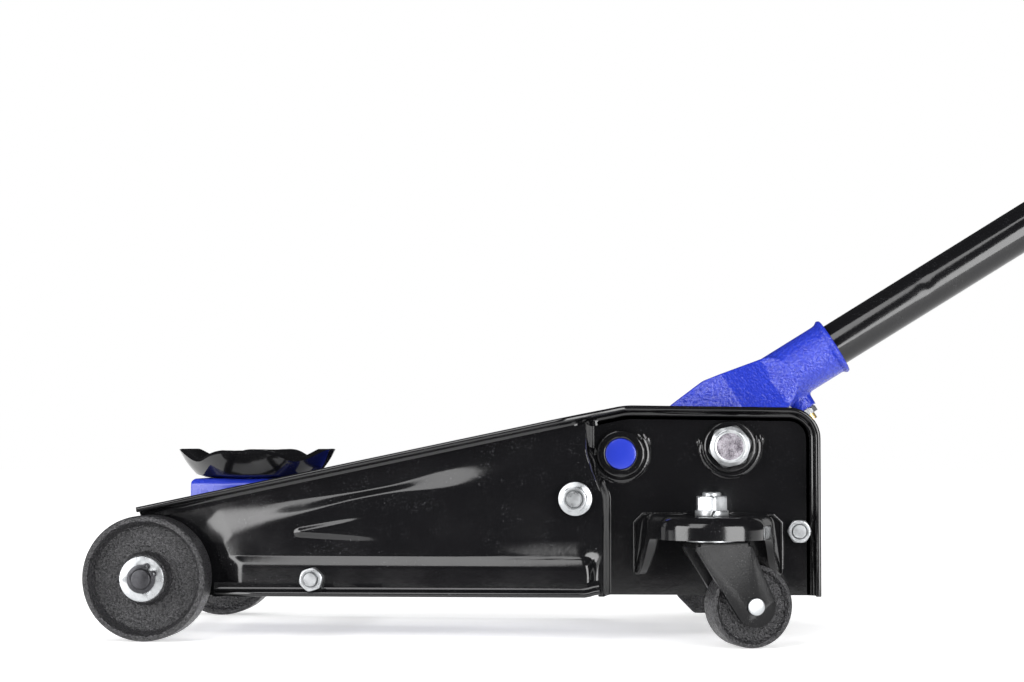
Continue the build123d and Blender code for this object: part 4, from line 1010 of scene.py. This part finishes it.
def hoodShape():
    # a skin carried down a section at every point of the plan: up the skirt, round the edge and in
    # over the top, then the same one sheet further in and back; point = plan + inward * depth
    axis = spot("caster_left_swivel")[:2]
    root = -plate["rear"] - 0.1
    outline = dense(hoodPlan(root, axis), 1.6)
    arc = np.linspace(0, np.pi / 2, 9)
    edge = hood["edgeRadius"]
    # how deep the skirt hangs: level round the nose, deepening in towards the plate
    reach = -outline[:, 1]
    start, end = hood["slope"]
    low = hood["skirt"] - (hood["skirt"] - hood["rootLow"]) * (1 - smooth(start - 6, end + 4, reach))
    foot = 1 - smooth(plate["rear"], 128, reach)
    middle = np.array([(hood["front"] + hood["rear"]) / 2 * 0.5 + axis[0] * 0.5,
                       (axis[1] * 0.75 + root * 0.25)])
    tangent = np.gradient(outline, axis=0)
    tangent /= np.linalg.norm(tangent, axis=1, keepdims=True)
    inward = np.stack([-tangent[:, 1], tangent[:, 0]], 1)
    inward *= np.sign(((middle - outline) * inward).sum(1))[:, None]
    inward[np.abs(outline[:, 1] - root) < 12] *= np.array([1, 0])
    inward /= np.linalg.norm(inward, axis=1, keepdims=True)

    def shell(offset, radius):
        skirt = np.linspace(0, 1, 10)[:, None]
        height = low[None] + (hood["top"] - edge - low[None]) * skirt
        full = hood["top"] - edge - hood["rootLow"]
        splay = hood["splay"] * (height - hood["rootLow"]) / full * foot[None]
        sideLine = outline[None] + inward[None] * (offset + splay)[..., None]
        bend = sideLine[-1:] + inward[None] * (radius * (1 - np.cos(arc)))[:, None, None]
        bendZ = (hood["top"] - edge + radius * np.sin(arc))[:, None] + 0 * low[None]
        rimLine = bend[-1]
        spread = np.array([0.15, 0.4, 0.7, 0.999])[:, None, None]
        hub = axis + (rimLine - axis) * 0.12
        topLine = rimLine[None] * (1 - spread) + hub[None] * spread
        topZ = np.full((4, len(outline)), hood["top"] - edge + radius)
        xy = np.concatenate([sideLine, bend[1:], topLine])
        z = np.concatenate([height, bendZ[1:], topZ])
        return np.concatenate([xy, z[..., None]], -1)
    outer = shell(0.0, edge)
    inner = shell(hood["thick"], edge - hood["thick"])[::-1]
    points = np.concatenate([outer, inner, outer[:1]])
    return [(points, False, False, False, False)]


def hoodGrids():
    grids = hoodShape()
    points = grids[0][0]
    # the round foot of each leg is welded to the plate all the way up
    seams = []
    rootX = ((points[0, 0, 0], 1), (points[0, -1, 0], -1))
    for x, sign in rootX:
        line = dense(np.array([(x - sign * 0.5, hood["rootLow"] + 1), (x - sign * 0.5, hood["top"] - 7),
                               (x + sign * 6, hood["top"] - 0.5), (x + sign * 40, hood["top"] + 0.2)]), 1.0)
        line = np.stack([line[:, 0], np.full(len(line), -plate["rear"] - 0.2), line[:, 1]], 1)
        seams.append(bead(line, 61 + int(x), 1.5))
    return grids, seams


hoodLeft, seamsLeft = hoodGrids()
hoodSides = (("Left", hoodLeft, seamsLeft), ("Right", mirrored(hoodLeft), mirrored(seamsLeft)))
for side, grids, seams in hoodSides:
    dress(surface("casterHood" + side, grids, 50), "chassis", finishes["black_paint"], "black_paint",
          "caster_bracket_" + side.lower())
    dress(surface("casterHoodWeld" + side, seams, 60), "chassis", finishes["black_paint"], "black_paint")
print("caster hoods made")


# Handle: two tubes, their screw, and a ribbed grip, carried along the handle's own line
tube = {"dia": 35.0, "wall": 2.5, "start": 45.0, "split": 560.0, "spigot": 60.0, "end": 1064.0,
        "gripDia": 40.6, "gripLength": 140.0, "gripEnd": 1070.0, "ribs": 17}
twist = joints["handle_twist"]
handleLine = np.array(twist["axis"])
pivot = spot("handle_pump")
lift = np.array([-handleLine[2], 0, handleLine[0]])
handleFoot = pivot + lift * ((spot("handle_twist") - pivot) @ lift)


def along(profile, segments=96, radiusAt=None):
    return turned(profile, handleFoot, handleLine, segments, radiusAt, side=(0, 1, 0))


def tubeProfile(start, end, dia, wall, lead=0.8):
    half, bore = dia / 2, dia / 2 - wall
    corners = [(bore, start, 0), (half, start, lead), (half, end, lead), (bore, end, 0)]
    return dense(cornerPath(corners, 3), 30.0)


def handleTubes():
    split = tube["split"] - tube["spigot"]
    lower = tubeProfile(tube["start"], split, tube["dia"], tube["wall"])
    spigot = cornerPath([(11.0, split - 12, 0), (14.8, split - 12, 0.3), (14.8, tube["split"], 0.8),
                         (11.0, tube["split"], 0)], 3)
    key = cornerPath([(0.3, 12, 0), (7, 12, 1.5), (7, tube["start"] - 0.2, 0), (15, tube["start"], 0.3),
                      (15, tube["start"] + 10, 0.3), (0.3, tube["start"] + 10, 0)], 4)
    upper = tubeProfile(split + 0.3, tube["end"], tube["dia"], tube["wall"])

    def crimp(radius, height, angle):
        # a shallow rolled groove near the joint, and a faint rolled seam mark on the lower tube
        groove = 0.5 * np.exp(-((height - 200) / 5.0) ** 2) * np.exp(-((angle - 4.5) / 0.5) ** 2)
        return radius - groove * (radius > tube["dia"] / 2 - 0.6), height
    lowerGrids = [(closed(along(dense(lower, 4.0), 72, crimp)), False, True, False, False),
                  (closed(along(spigot)), False, True, False, False),
                  (along(key, 48), False, True, True, True)]
    upperGrids = [(closed(along(upper)), False, True, False, False)]
    return lowerGrids, upperGrids


for name, grids in zip(("lower_handle_tube", "upper_handle_tube"), handleTubes()):
    dress(surface(camelName(name), grids, 40), "handle", finishes["black_paint"], "black_paint", name)


def gripShape():
    # the sleeve's radius dips between ribs and its flanks carry shallow flutes; the end is domed
    end, start = tube["gripEnd"] - 0.3, tube["gripEnd"] - tube["gripLength"]
    half = tube["gripDia"] / 2
    outline = cornerPath([(tube["dia"] / 2 + 0.15, start, 0), (half, start, 1.8), (half, end, 5.0),
                          (0.4, end, 0)], 8)
    outline = dense(outline, 0.9)

    def ribs(radius, height, angle):
        share = (height - start - 12) / (tube["gripLength"] - 34)
        inside = smooth(0, 0.03, share) * (1 - smooth(0.97, 1, share)) * (radius > half - 0.5)
        wave = np.abs(np.sin(np.pi * tube["ribs"] * np.clip(share, 0, 1))) ** 0.6
        flutes = 0.35 * (0.5 + 0.5 * np.cos(12 * angle))
        return radius - inside * (0.9 * (1 - wave) + flutes), height
    inner = np.array([(0.4, tube["end"] + 0.4), (tube["dia"] / 2 + 0.15, tube["end"] + 0.4),
                      (tube["dia"] / 2 + 0.15, start)])
    whole = np.concatenate([outline, inner])
    return [(along(whole, 96, ribs), False, True, False, False)]


dress(surface("handleGripRibbed", gripShape(), 60), "handle", finishes["grip_rubber"], "grip_rubber",
      "handle_grip")
print("handle made")


# Springs: a wire's circle carried along a helix, with closed turns at both ends
def springGrid(start, end, dia, wire, turns):
    # line = start + rise * axis + radius * (cos angle, sin angle); the wire's circle rides on it
    a, b = np.array(start, float), np.array(end, float)
    length = np.linalg.norm(b - a)
    u, v, w = axes(b - a, (0, 1, 0) if abs((b - a)[1]) < 0.5 * length else (1, 0, 0))
    t = np.linspace(0, 1, int(turns * 20) + 1)
    rise = smooth(0, 1, t) * 0.12 + t * 0.88
    angle = 2 * np.pi * turns * t
    radius = (dia - wire) / 2
    line = (a + w * (wire / 2 + rise[:, None] * (length - wire)) + u * (radius * np.cos(angle))[:, None]
            + v * (radius * np.sin(angle))[:, None])
    tangent = np.gradient(line, axis=0)
    tangent /= np.linalg.norm(tangent, axis=1, keepdims=True)
    outward = u * np.cos(angle)[:, None] + v * np.sin(angle)[:, None]
    third = np.cross(tangent, outward)
    section = np.arange(10) * 2 * np.pi / 10
    points = line[:, None] + wire / 2 * (np.cos(section)[None, :, None] * outward[:, None]
                                         + np.sin(section)[None, :, None] * third[:, None])
    return (points, False, True, True, True)


# each row: the node, the piece, the axis it lies along, its diameter, wire and turns, and its two bodies
springs = [
    ("return_spring_left", "returnSpringLeft", 0, 7.6, 1.6, 20, "ram", "chassis"),
    ("return_spring_right", "returnSpringRight", 0, 7.6, 1.6, 20, "ram", "chassis"),
    ("pump_spring", "pumpReturnSpring", 2, 16.0, 1.44, 5, "chassis", "pump_plunger"),
]
for node, name, lie, dia, wire, turns, firstBody, lastBody in springs:
    low, high = extent(node)
    start = (low + high) / 2
    end = start.copy()
    start[lie], end[lie] = low[lie], high[lie]
    piece = surface(name, [springGrid(start, end, dia, wire, turns)], 60)
    piece.data.materials.append(finishes["spring_steel"])
    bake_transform(piece)
    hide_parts(node)
print("springs made")


# Camera, floor and light
view = {"at": (453.0, -1800.6, 155.6), "forward": (-0.10096, 0.99389, 0.04449), "lens": 77.34}
cameraData = bpy.data.cameras.new("camera")
cameraData.lens = view["lens"]
cameraData.sensor_width = 36
cameraData.clip_end = 60
camera = bpy.data.objects.new("camera", cameraData)
camera.location = place(view["at"])
camera.rotation_euler = Vector(view["forward"]).to_track_quat("-Z", "Y").to_euler()
scene.collection.objects.link(camera)
scene.camera = camera


# each light: its place, what it faces, its size in metres and its power
lights = {
    "leftSoftbox": ((-1200, -1500, 520), (150, -100, 120), (1.3, 1.4), 44),
    "rightSoftbox": ((1400, -1450, 120), (700, -50, 250), (1.2, 1.9), 62),
    "highSoftbox": ((-150, -1600, 1250), (250, -100, 100), (0.75, 1.3), 14),
    "overheadSoftbox": ((450, 300, 2600), (400, 0, 0), (3.0, 2.4), 60),
}
for name, (at, aim, size, power) in lights.items():
    lamp = bpy.data.lights.new(name, "AREA")
    lamp.shape = "RECTANGLE"
    lamp.size, lamp.size_y = size
    lamp.energy = power
    box = bpy.data.objects.new(name, lamp)
    box.location = place(at)
    box.rotation_euler = (Vector(place(aim)) - Vector(place(at))).to_track_quat("-Z", "Y").to_euler()
    box.visible_glossy = name != "overheadSoftbox"
    scene.collection.objects.link(box)

world = bpy.data.worlds.new("studio")
world.use_nodes = True
scene.world = world
worldTree = world.node_tree
ground = worldTree.nodes["Background"]
ground.inputs["Color"].default_value = (0.045, 0.045, 0.047, 1)
paper = worldTree.nodes.new("ShaderNodeBackground")
paper.inputs["Color"].default_value = (1, 1, 1, 1)
pick = worldTree.nodes.new("ShaderNodeMixShader")
rays = worldTree.nodes.new("ShaderNodeLightPath")
worldTree.links.new(rays.outputs["Is Camera Ray"], pick.inputs[0])
worldTree.links.new(ground.outputs[0], pick.inputs[1])
worldTree.links.new(paper.outputs[0], pick.inputs[2])
worldTree.links.new(pick.outputs[0], worldTree.nodes["World Output"].inputs["Surface"])
scene.view_settings.view_transform = "Standard"

floorMesh = bpy.data.meshes.new("studioFloor")
span = 9.0
front = -0.62
corners = [(-span, front, 0), (span, front, 0), (span, span, 0), (-span, span, 0)]
floorMesh.from_pydata(corners, [], [(0, 1, 2, 3)])
floor = bpy.data.objects.new("studioFloor", floorMesh)
scene.collection.objects.link(floor)
# the white floor glows as well as taking light: painted light, weaker near the jack and stronger further out, so
# the far floor stays white while shadows near the jack still show; the glow also lights the jack from below
paperFloor = bpy.data.materials.new("paperFloor")
paperFloor.use_nodes = True
floorShader = paperFloor.node_tree.nodes["Principled BSDF"]
floorShader.inputs["Base Color"].default_value = (0.8, 0.8, 0.8, 1)
floorShader.inputs["Roughness"].default_value = 0.6
floorShader.inputs["Emission Color"].default_value = (1, 1, 1, 1)
paperTree = paperFloor.node_tree
across = paperTree.nodes.new("ShaderNodeVectorMath")
across.operation = "LENGTH"
paperTree.links.new(paperTree.nodes.new("ShaderNodeTexCoord").outputs["Object"], across.inputs[0])
# painted light: the floor's glow grows with distance from the jack
glow = rampNode(paperTree, across.outputs["Value"], 0.7, 2.4)
paperTree.links.new(mathNode(paperTree, "MULTIPLY_ADD", glow, 0.42, 0.56), floorShader.inputs["Emission Strength"])
floorMesh.materials.append(paperFloor)
print("stage made")
